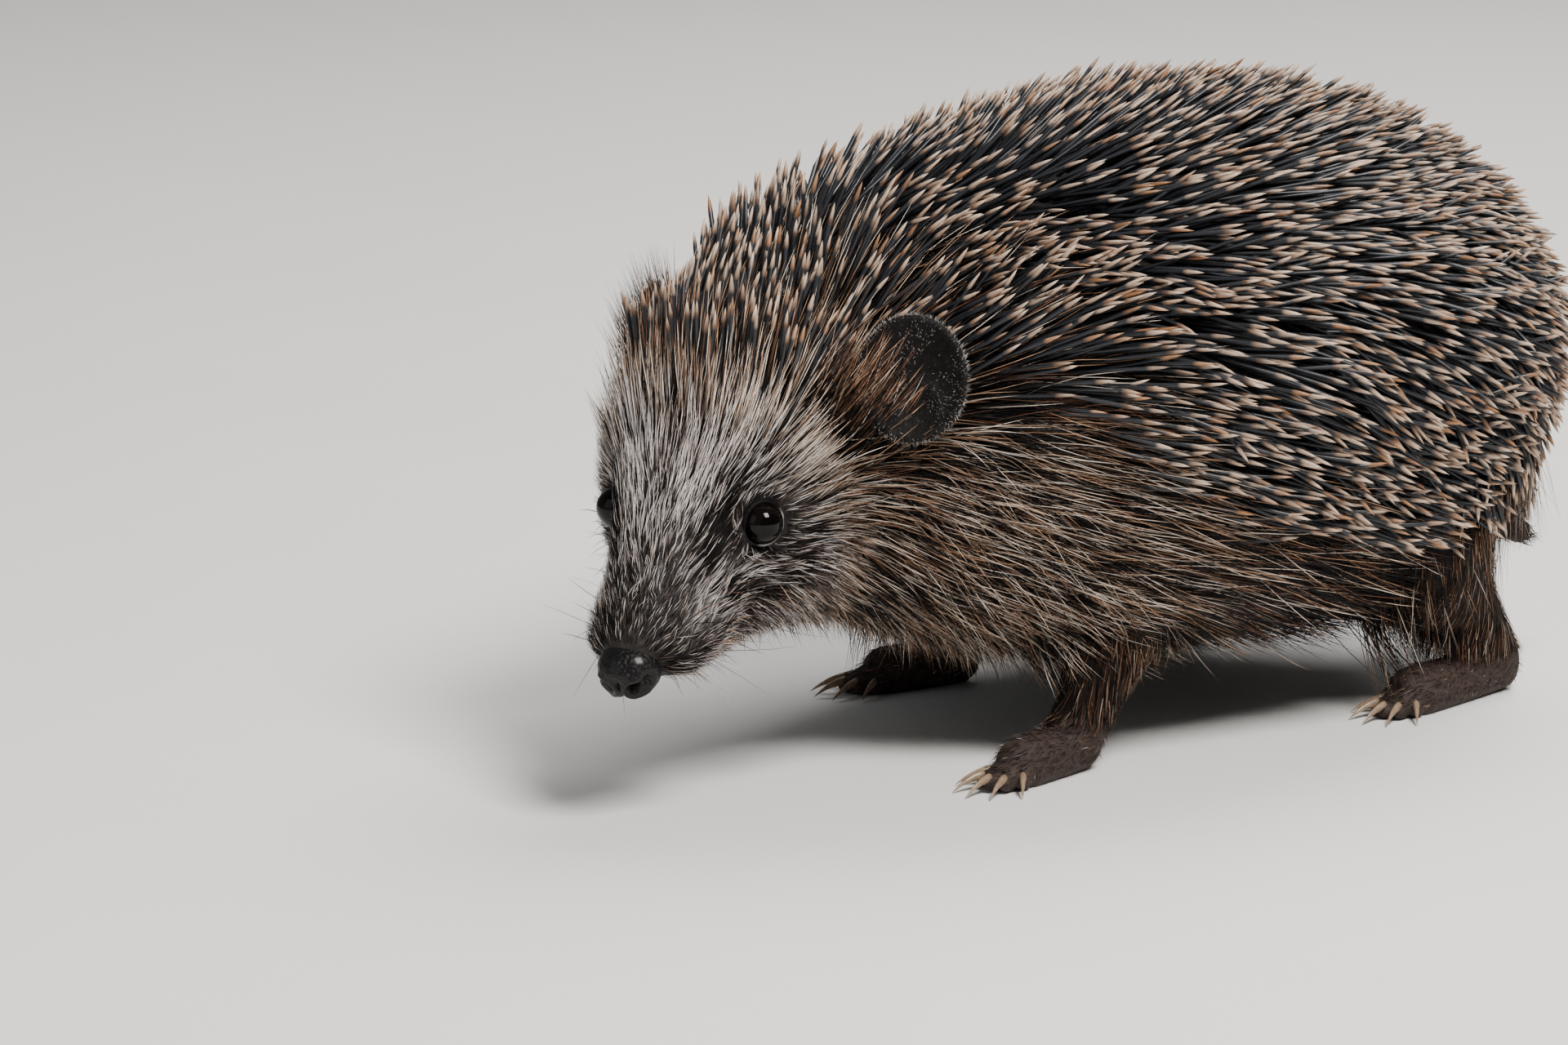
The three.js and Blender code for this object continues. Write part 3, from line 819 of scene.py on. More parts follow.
def blended(tree, shader, factor, first, second):
    """Base colour that runs from the first colour to the second as a factor goes from 0 to 1."""
    ends = {"A": (*first, 1), "B": (*second, 1)}
    colour = add_node(tree, "ShaderNodeMix", {"Factor": factor}, data_type="RGBA", **ends)
    tree.links.new(colour.outputs["Result"], shader.inputs["Base Color"])


def add_bump(tree, shader, height, distance, strength=1.0, after=None):
    """Adds a bump of that depth in metres to a shader, on top of an earlier one if there is one."""
    feeds = {"Height": height}
    if after:
        feeds["Normal"] = after.outputs["Normal"]
    bump = add_node(tree, "ShaderNodeBump", feeds, Strength=strength, Distance=distance)
    tree.links.new(bump.outputs["Normal"], shader.inputs["Normal"])
    return bump


# %% Fur, spine and skin materials
def strand_material(name, roughness, gloss, scale, low, high):
    """Colours from the strand's own attribute, varied by a fine noise."""
    material, tree, shader = new_material(name, Roughness=roughness, Specular_IOR_Level=gloss)
    tinted(tree, shader, noise_on_object(tree, scale), low, high)
    return material


fur_material = strand_material("coarse_hair", 0.5, 0.16, 900, 0.75, 1.25)
short_fur_material = strand_material("short_hair", 0.6, 0.1, 900, 0.8, 1.2)
spine_material = strand_material("banded_spine", 0.36, 0.4, 400, 0.85, 1.15)


def skin_material():
    """Markings from the mesh, dimmed as painted shade in the creases of a coarse noise, and bumped by it
    and a finer one.
    """
    material, tree, shader = new_material("creased_skin", Roughness=0.62, Specular_IOR_Level=0.12)
    coarse = noise_on_object(tree, 700, 4)
    fine = noise_on_object(tree, 2600, 2)
    # the coarse noise dims the colour where it makes creases: painted shade
    tinted(tree, shader, coarse, 0.7, 1.25)
    first = add_bump(tree, shader, coarse, 0.0005, 0.7)
    add_bump(tree, shader, fine, 0.00015, 0.6, after=first)
    return material


skin_piece.data.materials.append(skin_material())
print("materials:", ", ".join(material.name for material in bpy.data.materials))

# %% [markdown]
# ## The colour of the skin
#
# Under its coat the skin carries painted shade, and it is bare on ears, lids and feet. Skin much
# paler than the hair would shine through every gap, so it takes a mean of the hair's own colours
# dimmed as painted shade, and turns near-black with painted shade under the spines.

# %% Colouring the skin
BARE_FOOT = np.array([0.042, 0.030, 0.026])
BARE_EAR = np.array([0.007, 0.006, 0.006])
BARE_LID = np.array([0.012, 0.010, 0.010])
# near-black painted shade for the skin under the spines
SHADE_UNDER_SPINES = np.array([0.010, 0.008, 0.008])


def set_tint(mesh, colours):
    """Stores one colour for each vertex in an attribute named tint."""
    attribute = mesh.attributes.new("tint", "FLOAT_COLOR", "POINT")
    opaque = np.concatenate([colours, np.ones((len(colours), 1))], axis=1)
    attribute.data.foreach_set("color", opaque.ravel().astype(np.float32))


def skin_colour(points):
    """The hair's mean colour dimmed as painted shade, near-black painted shade under spines, bare on ears,
    eyelids and feet.
    """
    muzzle = ramp(in_head(points)[0], 8, 20)[:, None]
    # the mean of the hair's colours, dimmed as painted shade under the coat
    colour = mix(0.12, 0.18, muzzle) * (kinds_at(points) @ KINDS)
    # under the spines the skin turns near-black with painted shade
    colour = mix(colour, SHADE_UNDER_SPINES, mantle(points + 6 * WORLD[2])[:, None])
    body = flesh(points)
    ear = ramp(body - ears_field(points), -1, 2)[:, None]
    foot = ramp(points[:, 2], 13, 8)[:, None] * ramp(limbs_field(points), 3, 1)[:, None]
    lid = ramp(nearest_of(points, EYES), 6.5, 4.6)[:, None]
    colour = mix(colour, BARE_LID, lid)
    return mix(mix(colour, BARE_EAR, ear), BARE_FOOT, foot)


set_tint(skin_piece.data, skin_colour(points_of(skin_piece)))
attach(skin_piece, "root")
FLESH_NODES = [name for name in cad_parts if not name.startswith(("eye", "claw", "nose"))]
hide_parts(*FLESH_NODES)
print("skin stands for:", ", ".join(sorted(FLESH_NODES)))

# %% [markdown]
# ## Eyes and lids
#
# A hedgehog's eye is a black bead that bulges about half out of the skull, held by thin dark lids
# with a wet edge. A plain ball would do for the bead, but a real eye has a cornea: the clear front
# stands a little further out than the ball, and it makes the sharp glint. Both the eyeball and the
# lids are surfaces of two angles about the axis on which the eye looks out.

# %% Closed grids
def round_trip(count):
    """Angles evenly round a full turn."""
    return np.linspace(0, 2 * np.pi, count, endpoint=False)


def directions(away, turn):
    """Unit directions from the angle off the third axis and the angle round it."""
    parts = (np.sin(away) * np.cos(turn), np.sin(away) * np.sin(turn), np.cos(away))
    return np.stack(np.broadcast_arrays(*parts), axis=-1)


def ball_directions(rows, columns):
    """The directions of a grid over a ball, without its two poles."""
    away = np.linspace(0, np.pi, rows + 2)[1:-1, None]
    return away, directions(away, round_trip(columns)[None])


def wrapped_quads(rows, columns, size):
    """Quads between each of that many rows and the next of size rows, with columns that wrap round."""
    row, column = np.meshgrid(np.arange(rows), np.arange(columns), indexing="ij")
    below, beside = (row + 1) % size, (column + 1) % columns
    corners = ((row, column), (row, beside), (below, beside), (below, column))
    return np.stack([r * columns + c for r, c in corners], axis=-1).reshape(-1, 4)


def grid_faces(rows, columns):
    """Quads of a grid whose columns wrap round, with a fan at each end to a pole."""
    ring = np.arange(columns)
    beside = (ring + 1) % columns
    poles = np.full((2, columns), [[rows * columns], [rows * columns + 1]])
    top = (rows - 1) * columns
    start = np.stack([ring, poles[0], beside], axis=-1)
    end = np.stack([top + ring, top + beside, poles[1]], axis=-1)
    return wrapped_quads(rows - 1, columns, rows).tolist() + start.tolist() + end.tolist()


# %% Eye shapes
def eye_axes(eye):
    """Towards the nose, up the lid, and out of the socket along the slope of the skull."""
    out = slope(trunk_and_head, eye[None])[0]
    nosewards = unit(forward - out * (forward @ out))
    upwards = np.cross(out, nosewards)
    return np.stack([nosewards, upwards * np.sign(upwards[2]), out])


def eyeball(eye):
    """A sphere by angle from its axis and angle round it, raised by a bell curve at the cornea."""
    rows, columns = 40, 56
    away, aims = ball_directions(rows, columns)
    radius = EYE_RADIUS * (0.985 + 0.05 * np.exp(-np.square(away / 0.62)))
    points = (aims * radius[..., None]).reshape(-1, 3)
    poles = np.array([[0, 0, radius[0, 0]], [0, 0, -radius[-1, 0]]])
    return eye + np.concatenate([points, poles]) @ eye_axes(eye), grid_faces(rows, columns)


LID_OPENING = np.radians(74)  # from the eye's axis to the lid's edge
LID_HALF_WIDTH = np.radians(12)
LID_THICKNESS = 0.42


def eyelids(eye):
    """A flattened tube round the eye. Its middle line runs out into a tear corner towards the nose."""
    around, across = 96, 14
    turn = round_trip(around)[:, None]
    section = round_trip(across)[None]
    corner = np.exp(-np.square((np.abs(turn - np.pi) - np.pi) / 0.42))
    droop = 0.05 * np.sin(turn)
    middle = LID_OPENING + LID_HALF_WIDTH * 0.8 + 0.38 * corner - droop
    away = middle + LID_HALF_WIDTH * np.cos(section)
    crease = 0.07 * np.sin(5 * section) * np.sin(9 * turn + 2)
    lift = LID_THICKNESS * (1 + 0.25 * np.sin(turn)) * np.sin(section) + crease
    sink = 0.08625 * (1 - np.cos(section)) + 0.15 * corner
    radius = EYE_RADIUS + 0.12 + lift - 0.72 * np.clip(np.cos(section), 0, 1) - sink
    points = (directions(away, turn) * radius[..., None]).reshape(-1, 3)
    return eye + points @ eye_axes(eye), wrapped_quads(around, across, around)


# %% [markdown]
# ## The look of the eye
#
# The iris is so dark that the eye reads as a black drop with one sharp glint. A flat black would
# look like a hole, so a barely brown ring lies round the pupil, under a wet gloss. The lids are
# dull and nearly black, with a paler line of painted sheen where the lower one meets the ball.

# %% Eye materials and pieces
IRIS_REACH = 0.0045  # metres from the middle of the cornea to where the bands end


def eyeball_material(eye):
    """Black in the middle, a very dark brown ring for the iris, and a wet gloss over all."""
    material, tree, shader = new_material("eye_gloss", Roughness=0.05, IOR=1.27)
    gap = add_node(tree, "ShaderNodeVectorMath", {0: object_place(tree)}, operation="DISTANCE")
    gap.inputs[1].default_value = (eye + SHIFT + eye_axes(eye)[2] * EYE_RADIUS) * MM
    way = {"Value": gap.outputs["Value"]}
    bands = add_node(tree, "ShaderNodeMapRange", way, From_Min=0.0, From_Max=IRIS_REACH)
    ring = add_node(tree, "ShaderNodeValToRGB", {"Fac": bands.outputs["Result"]})
    stops = ((0.0, 0.0008), (0.42, 0.0010), (0.5, 0.0028), (0.8, 0.0020), (1.0, 0.0008))
    for number, (where, level) in enumerate(stops):
        stop = ring.color_ramp.elements[number] if number < 2 else ring.color_ramp.elements.new(where)
        stop.position = where
        stop.color = (level * 1.5, level * 1.0, level * 0.8, 1)
    tree.links.new(ring.outputs["Color"], shader.inputs["Base Color"])
    return material


LID_DARK = np.array([0.004, 0.0035, 0.0035])
# a pale grey painted sheen for the wet edge of the lower lid
LID_PAINTED_SHEEN = np.array([0.22, 0.21, 0.20])


def lid_tint(eye, points):
    """Near-black, with a paler line of painted sheen where the lower lid meets the ball."""
    nosewards, upwards, out = ((points - eye) @ eye_axes(eye).T).T
    turn = np.arctan2(upwards, nosewards)
    away = np.arctan2(np.hypot(upwards, nosewards), out)
    lower = ramp(np.sin(turn), 0.0, -0.5)
    edge = np.exp(-np.square((away - LID_OPENING) / np.radians(4.5)))
    # the lower lid's edge takes the pale painted sheen
    return mix(LID_DARK, LID_PAINTED_SHEEN, (lower * edge)[:, None])


def lid_material():
    """Lid skin in its own tint, with its painted sheen, mottled by a fine noise."""
    material, tree, shader = new_material("lid_skin", Roughness=0.6, Specular_IOR_Level=0.08)
    noise = noise_on_object(tree, 1500, 3)
    tinted(tree, shader, noise, 0.5, 1.5)
    add_bump(tree, shader, noise, 0.0002, 0.6)
    return material


lid_skin = lid_material()
for side, eye in zip(("left", "right"), EYES):
    ball = closed_piece(f"eyeball_{side}", *eyeball(eye), eyeball_material(eye))
    lid_points, lid_faces = eyelids(eye)
    lids = closed_piece(f"eyelids_{side}", lid_points, lid_faces, lid_skin)
    set_tint(lids.data, lid_tint(eye, lid_points))
    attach(ball, "root")
    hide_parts(f"eye_{side}")
    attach(lids, "root")
    print(f"eye_{side}: looks along", eye_axes(eye)[2].round(2))

# %% [markdown]
# ## The nose
#
# The bare nose pad is wet, black and pebbled. Each nostril opens forwards and trails off sideways
# in a comma, and a groove runs down the middle. A ball with two holes cut in it would have hard
# edges. The pad is one surface by two angles about the snout's axis instead, pushed in by bell
# curves at the nostrils and the groove, and raised in a rim round them.

# %% The nose pad
NOSE_CENTRE = (31.5, 0, -4.7)
NOSE_HALF = (5.3, 5.7, 4.9)
NOSTRIL = unit(np.array([0.78, 0.56, -0.08]))
COMMA = unit(np.array([0.45, 0.88, 0.10]))


def bell(aims, middle, width, off=0):
    """exp of minus the square of the angle from a middle direction, less an offset, over a width."""
    angle = np.arccos(np.clip(aims @ middle, -1, 1))
    return np.exp(-np.square((angle - off) / width))


def nose_pad():
    """An ellipsoid by two angles, times one minus the pits, plus the rims and the pad's bulges."""
    rows, columns = 90, 120
    grid = np.roll(ball_directions(rows, columns)[1], 1, axis=-1).reshape(-1, 3)
    aims = np.concatenate([grid, [[1, 0, 0], [-1, 0, 0]]])
    scale = np.ones(len(aims))
    mirrored = aims * (1, 0, 1) + np.abs(aims * (0, 1, 0))
    scale -= 0.62 * bell(mirrored, NOSTRIL, 0.26)
    scale -= 0.30 * bell(mirrored, COMMA, 0.22)
    scale += 0.06 * bell(mirrored, NOSTRIL, 0.12, 0.46)
    groove = np.exp(-np.square(aims[:, 1] / 0.08)) * ramp(aims[:, 0], 0, 0.5)
    scale -= 0.16 * groove * ramp(aims[:, 2], 0.6, 0.1)
    scale -= 0.14 * ramp(aims[:, 2], -0.35, -0.95) + 0.11 * ramp(aims[:, 0], 0.75, 1.0)
    points = aims * scale[:, None] * NOSE_HALF
    return on_head(*NOSE_CENTRE) + points @ HEAD, grid_faces(rows, columns)


def nose_material():
    """Wet black leather: pebbles from a Voronoi pattern as bump, and a clear coat."""
    material, tree, shader = new_material(
        "wet_nose", Roughness=0.5, Specular_IOR_Level=0.12, Coat_Weight=0.25, Coat_Roughness=0.18
    )
    place = {"Vector": object_place(tree)}
    pebbles = add_node(tree, "ShaderNodeTexVoronoi", place, Scale=1900.0, feature="SMOOTH_F1")
    height = pebbles.outputs["Distance"]
    blended(tree, shader, height, (0.007, 0.006, 0.006), (0.004, 0.0035, 0.004))
    add_bump(tree, shader, height, 0.0004).invert = True
    return material


nose = closed_piece("nose_pad", *nose_pad(), nose_material())
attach(nose, "root")
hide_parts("nose")
print("nose pad:", len(nose.data.vertices), "vertices")

# %% [markdown]
# ## Claws
#
# Each toe ends in a long, slightly hooked claw of translucent horn, darker at its root. It is a
# profile carried along a curved path: a ring that shrinks to a point while its centre bends down.
# The five claws of a foot are one piece.

# %% The claws
CLAW_LENGTH = 6.5
CLAW_RADIUS = 0.85


def one_claw(root, heading):
    """Rings along a path whose height falls with the square of the way, to a blunt pole."""
    rows, columns = 10, 12
    way = np.linspace(0, 0.985, rows)[:, None]
    turn = round_trip(columns)[None]
    sideways = np.cross(WORLD[2], heading)
    radius = CLAW_RADIUS * np.power(1 - way, 0.8)
    rise = 0.9 - 2.4 * way**2
    points = (
        root
        + (way * CLAW_LENGTH)[..., None] * heading
        - (radius * 0.85 * np.cos(turn))[..., None] * sideways
        + (rise + radius * 1.1 * np.sin(turn))[..., None] * WORLD[2]
    ).reshape(-1, 3)
    base = root - heading * 0.3 + WORLD[2] * 0.9
    point = root + heading * CLAW_LENGTH - WORLD[2] * 1.5
    return np.concatenate([points, [base, point]]), grid_faces(rows, columns)


def claw_material():
    """Horn: brown and streaked, with a soft gloss."""
    material, tree, shader = new_material("horn", Roughness=0.3)
    noise = noise_on_object(tree, 1200, 4)
    blended(tree, shader, noise, (0.10, 0.06, 0.035), (0.42, 0.30, 0.20))
    add_bump(tree, shader, noise, 0.0001, 0.5)
    return material


horn = claw_material()
for foot, limb in LIMBS.items():
    points, faces = [], []
    for base, tip, heading in toes_of(limb):
        claw_points, claw_faces = one_claw(tip + heading * 0.2, heading)
        start = sum(len(part) for part in points)
        points.append(claw_points)
        faces += [[start + corner for corner in face] for face in claw_faces]
    claws = closed_piece(f"claws_{foot}", np.concatenate(points), faces, horn)
    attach(claws, "root")
    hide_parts(*[f"claw_{foot}_{number}" for number in range(1, 6)])
print("claws: 20 in four pieces")

# %% [markdown]
# ## The lie of the coat
#
# Hair grows from the nose back over the forehead and cheeks, then along the trunk and down its
# sides to the tail. Blender could comb this by hand, and it would have to be combed again after
# each change of shape. Here the lie is a function of place: a few directions, each with a region,
# blended and pressed flat onto the skin.

# %% Which way the coat lies
LEVEL_BACK = unit(-forward * (1, 1, 0))


def level_way(normals, fall):
    """Back along the skin, in a plane that drops by fall for each unit of the way to the tail."""
    flat = np.zeros(len(normals))
    plane = np.stack([flat, flat + fall, flat + 1], axis=1)
    return unit(np.cross(plane, normals) * np.sign(normals[:, :1]))


def lie_of(points, normals):
    """Blended directions by region, laid flat on the skin and turned away from the eyes."""
    ahead, left, up = in_head(points)
    side = np.tanh(left / 9)[:, None]
    cheek = (ramp(up, 5, -7) * ramp(ahead, 10, -8))[:, None]
    throat = ramp(up, -13, -20)[:, None]
    flank = ramp(np.abs(normals[:, :1]), 0.15, 0.45)
    fall = 0.02 + 0.22 * ramp(up, 2, -14)
    aside = ramp(np.abs(left), 11, 19) * ramp(up, -2, 4)
    face = -forward + 0.5 * side * leftward * aside[:, None]
    jowl = LEVEL_BACK + 0.30 * side * leftward - fall[:, None] * WORLD[2]
    face = mix(face, mix(unit(jowl), level_way(normals, fall), flank), cheek)
    face = mix(face, mix(LEVEL_BACK - 0.40 * WORLD[2], level_way(normals, 0.26), flank), throat)
    slant = np.interp(points[:, 2], (20, 50, 60, 72, 84, 104), (0.34, 0.30, 0.42, 0.80, 0.62, 0.05))
    slant = slant[:, None] * mix(0.5, 1.0, ramp(points[:, 1], -72, -30)[:, None])
    outwards = np.sign(points[:, :1]) * ramp(np.abs(points[:, :1]), 0, 25)
    trunk = WORLD[1] - slant * WORLD[2] + 0.25 * outwards * WORLD[0]
    rump = ramp(points[:, 1], 40, 88)[:, None]
    trunk = mix(trunk, 0.3 * WORLD[1] - 1.0 * WORLD[2] + 0.35 * outwards * WORLD[0], rump)
    front = ramp(-normals[:, 1:2], 0.0, 0.4) * flank
    trunk = mix(unit(trunk), level_way(normals, 0.22), front)
    under = ramp(normals[:, 2], -0.5, -0.9)[:, None]
    trunk = mix(trunk, WORLD[1] - 0.1 * WORLD[2], under)
    lie = mix(unit(face), unit(trunk), ramp(ahead, -34, -66)[:, None])
    body = flesh(points)
    leg = ramp(body - limbs_field(points), -8 * ramp(points[:, 1], 0, 20), 5)[:, None]
    foot = ramp(points[:, 2], 12, 7)[:, None]
    lie = mix(lie, mix(-WORLD[2] - 0.1 * WORLD[1], -WORLD[1] - 0.1 * WORLD[2], foot), leg)
    tail = ramp(body - tail_field(points), 0, 3)[:, None]
    lie = mix(lie, unit(TAIL[1] - TAIL[0]), tail)
    for eye in EYES:
        away = unit(points - eye)
        near = ramp(np.linalg.norm(points - eye, axis=1), 9.0, 5.0)[:, None]
        inwards = np.minimum(np.sum(lie * away, axis=1, keepdims=True), 0)
        lie = lie + near * away * (0.3 - inwards)
    return flat_on(normals, lie)


places = np.array([[30.0, -60, 60], [45, 0, 60], [0, 0, 106]])
print("lie on shoulder, flank and back:", lie_of(places, slope(flesh, places)).round(2).tolist())

# %% [markdown]
# ## Roots
#
# The roots are random points on the skin's triangles. Pure chance leaves clumps and bald spots, so
# space is cut into small cubes and each cube keeps one root. That is quick for tens of thousands of
# roots, and near enough to the even spread of real follicles.

# %% Scattering roots over the skin
def skin_triangles():
    """The three corners of every triangle of the skin, in mm."""
    mesh = skin_piece.data
    mesh.calc_loop_triangles()
    corners = np.zeros(len(mesh.loop_triangles) * 3, np.int32)
    mesh.loop_triangles.foreach_get("vertices", corners)
    return points_of(skin_piece)[corners.reshape(-1, 3)]


TRIANGLES = skin_triangles()
EDGES = TRIANGLES[:, 1:] - TRIANGLES[:, :1]
AREAS = np.linalg.norm(np.cross(EDGES[:, 0], EDGES[:, 1]), axis=1) / 2
print("skin area:", round(AREAS.sum() / 100), "square cm in", len(TRIANGLES), "triangles")


def scatter(spacing, chosen, seed, tries=5):
    """Random points by area on the triangles where chosen says yes, thinned to one in each cube."""
    random = np.random.default_rng(seed)
    middles = TRIANGLES.mean(axis=1)
    wanted = AREAS * chosen(middles)
    count = int(tries * wanted.sum() / spacing**2)
    picks = random.choice(len(wanted), size=count, p=wanted / wanted.sum())
    a, b = random.random((2, count, 1))
    turn = a + b > 1
    a, b = np.where(turn, 1 - a, a), np.where(turn, 1 - b, b)
    corner, second, third = TRIANGLES[picks].transpose(1, 0, 2)
    points = corner + a * (second - corner) + b * (third - corner)
    cubes = np.floor(points / spacing + random.random(3)).astype(int)
    kept = np.unique(cubes, axis=0, return_index=True)[1]
    return points[np.sort(kept)], random


# %% [markdown]
# ## One strand
#
# A spine or a hair is a thin tapered tube along a gentle curve. Its root stands on the skin, and
# its lift is found by halving: the angle grows until the tip just reaches its share of the coat's
# depth there. So every region gets its own slant without a table of angles, flat on the muzzle and
# steep on the crown, and the tips give the animal its outline.

# %% Paths and lifts
def path_of(roots, start, end, length, stops):
    """Root plus length times start (s - s squared / 2) plus end (s squared / 2), at each stop s."""
    s = np.asarray(stops)[None, :, None]
    reach = length[:, None, None]
    return roots[:, None] + reach * (start[:, None] * (s - s * s / 2) + end[:, None] * (s * s / 2))


def raised(lie, normals, angle):
    """The lie turned up from the skin by an angle."""
    return unit(lie * np.cos(angle)[:, None] + normals * np.sin(angle)[:, None])


def arched(roots, lie, rise, lift, arc, length, stops):
    """Paths that leave the skin above the lift by an arc and end as much below it."""
    start, end = raised(lie, rise, lift + arc), raised(lie, rise, lift - arc)
    return path_of(roots, start, end, length, stops)


LOWEST_LIFT = np.radians(-4)
HIGHEST_LIFT = np.radians(76)
HALVINGS = 11


def find_lift(roots, normals, lie, length, bend, share, surface, depth):
    """Halves the range of lifts until the tip stands off the surface by its share of the depth."""
    low = np.full(len(roots), LOWEST_LIFT)
    high = np.full(len(roots), HIGHEST_LIFT)
    for _ in range(HALVINGS):
        lift = (low + high) / 2
        tip = arched(roots, lie, normals, lift, bend, length, [1.0])[:, 0]
        short = surface(tip) < share * depth(tip)
        low, high = np.where(short, lift, low), np.where(short, high, lift)
    return lift


def turned(lie, normals, angle):
    """The lie turned about the normal by an angle, one for each root."""
    across = np.cross(normals, lie)
    return lie * np.cos(angle)[:, None] + across * np.sin(angle)[:, None]


def ripple(points, wave, seed):
    """A smooth value from -1 to 1 that makes neighbours agree: the mean of five sines of place."""
    random = np.random.default_rng(seed)
    ways = unit(random.normal(size=(5, 3))) * (2 * np.pi / wave)
    return np.sin(points @ ways.T + random.random(5) * 6.28).mean(axis=1) * 1.8


# %% [markdown]
# ## The mesh of many strands
#
# A coat of thousands of objects would choke any program. Each piece is one mesh: rings of a few
# corners round every path, closed at the root and drawn to a point at the tip. The faces of one
# strand are listed once, and numpy repeats them for all the others.

# %% The strand mesh
PATCH = 0.003


def strand_faces(rings, sides):
    """Face loops of one strand, with each corner's place round and along it: walls, tip and root."""
    loops, places, sizes = [], [], []
    for ring in range(rings - 1):
        for side in range(sides):
            beside = (side + 1) % sides
            loops += [ring * sides + side, ring * sides + beside]
            loops += [(ring + 1) * sides + beside, (ring + 1) * sides + side]
            places += [(side, ring), (side + 1, ring), (side + 1, ring + 1), (side, ring + 1)]
            sizes.append(4)
    for side in range(sides):
        top = (rings - 1) * sides
        loops += [top + side, top + (side + 1) % sides, rings * sides]
        places += [(side, rings - 1), (side + 1, rings - 1), (side + 0.5, rings)]
        sizes.append(3)
    loops += list(range(sides))[::-1]
    places += [(side, -0.3 - 0.2 * (side % 2)) for side in range(sides)][::-1]
    sizes.append(sides)
    return np.array(loops), np.array(places, float), np.array(sizes)


# %% Points and meshes of all the strands
def strand_points(normals, paths, radii, sides, flatness):
    """Rings square to each path, of the given radii and flattened towards the skin, and the tips."""
    count, rings = radii.shape
    along = unit(np.gradient(paths, axis=1))[:, :-1]
    across = unit(np.cross(along, normals[:, None] + 0.01))
    over = np.cross(along, across) * flatness
    angle = np.arange(sides) * 2 * np.pi / sides
    ring = across[:, :, None] * np.cos(angle)[None, None, :, None]
    ring = ring + over[:, :, None] * np.sin(angle)[None, None, :, None]
    ring = paths[:, :rings, None] + ring * radii[:, :, None, None]
    return np.concatenate([ring.reshape(count, -1, 3), paths[:, rings:]], axis=1)


def repeated_mesh(name, points, loops, sizes):
    """A smooth mesh in which every strand has the same face loops, of the given sizes."""
    count, each = points.shape[:2]
    all_loops = (loops[None] + (np.arange(count) * each)[:, None]).ravel()
    mesh = bpy.data.meshes.new(name)
    mesh.vertices.add(count * each)
    mesh.loops.add(len(all_loops))
    mesh.polygons.add(count * len(sizes))
    mesh.vertices.foreach_set("co", ((points.reshape(-1, 3) + SHIFT) * MM).ravel().astype(np.float32))
    mesh.loops.foreach_set("vertex_index", all_loops.astype(np.int32))
    starts = np.concatenate([[0], np.cumsum(np.tile(sizes, count))[:-1]])
    mesh.polygons.foreach_set("loop_start", starts.astype(np.int32))
    mesh.polygons.foreach_set("use_smooth", np.ones(count * len(sizes), bool))
    mesh.update(calc_edges=True)
    mesh.validate()
    return mesh


# %% A finished piece of strands
def strand_piece(name, grown, stops, sides, places, material, flatness=1.0):
    """Builds one mesh of all the strands, with its tint and its OFBake map, and rides it on the body."""
    _, normals, paths, radii, tints = grown
    count, rings = radii.shape
    loops, corner_places, sizes = strand_faces(rings, sides)
    triangles = count * int((sizes - 2).sum())
    assert triangles < 200_000, f"{name} has {triangles} triangles"
    points = strand_points(normals, paths, radii, sides, flatness)
    mesh = repeated_mesh(name, points, loops, sizes)

    level = np.interp(corner_places[:, 1], np.arange(-1, len(stops)), np.concatenate([[-0.1], stops]))
    patch = np.stack([corner_places[:, 0] / sides, level], axis=1) * PATCH
    layer = mesh.uv_layers.new(name="OFBake")
    layer.data.foreach_set("uv", (places[:, None] + patch[None] - PATCH / 2).ravel().astype(np.float32))

    tint = np.repeat(tints[:, :rings], sides, axis=1)
    tint = np.concatenate([tint, tints[:, rings:]], axis=1)
    set_tint(mesh, tint.reshape(-1, 3))
    mesh.materials.append(material)
    piece = linked(name, mesh)
    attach(piece, "root")
    print(f"{name}: {count} strands, {triangles} triangles")


# %% [markdown]
# ## The unwrap that the strands share
#
# A strand's patch in its OFBake map sits where its root does when the skin is peeled off the body
# like a sleeve: one way along the body's axis, the other round it. Each patch is three thousandths
# of the map, which is enough for the bands along a spine.

# %% Unwrapping the roots
BODY_AXIS = np.array(
    [TAIL[1], (0, 62, 50), (0, 30, 58), (0, 0, 61), (0, -34, 61), (-1, -58, 59)]
    + [tuple(on_head(-25, 0, -5)), tuple(on_head(0, 0, -4.5)), tuple(on_head(34, 0, -4.5))]
)


def peeled(points):
    """The nearest place along the axis as a share of its length, and the angle round it in turns."""
    pieces = np.diff(BODY_AXIS, axis=0)
    lengths = np.linalg.norm(pieces, axis=1)
    starts = np.concatenate([[0], np.cumsum(lengths)[:-1]])
    best = np.full(len(points), 1e9)
    place = np.zeros((len(points), 2))
    for start, piece, length, before in zip(BODY_AXIS, pieces, lengths, starts):
        t = np.clip((points - start) @ piece / length**2, 0, 1)
        offset = points - start - t[:, None] * piece
        gap = np.linalg.norm(offset, axis=1)
        sideways = unit(np.cross(piece, WORLD[2]))
        upwards = np.cross(sideways, unit(piece))
        turn = np.arctan2(offset @ sideways, offset @ upwards) / (2 * np.pi) + 0.5
        nearer = gap < best
        best = np.where(nearer, gap, best)
        place[nearer] = np.stack([turn, (before + t * length) / lengths.sum()], axis=1)[nearer]
    return place


def filled(places):
    """The places stretched so that they fill the map, a little inside its edges."""
    low, high = places.min(axis=0), places.max(axis=0)
    return 0.004 + 0.992 * (places - low) / np.maximum(high - low, 1e-6)


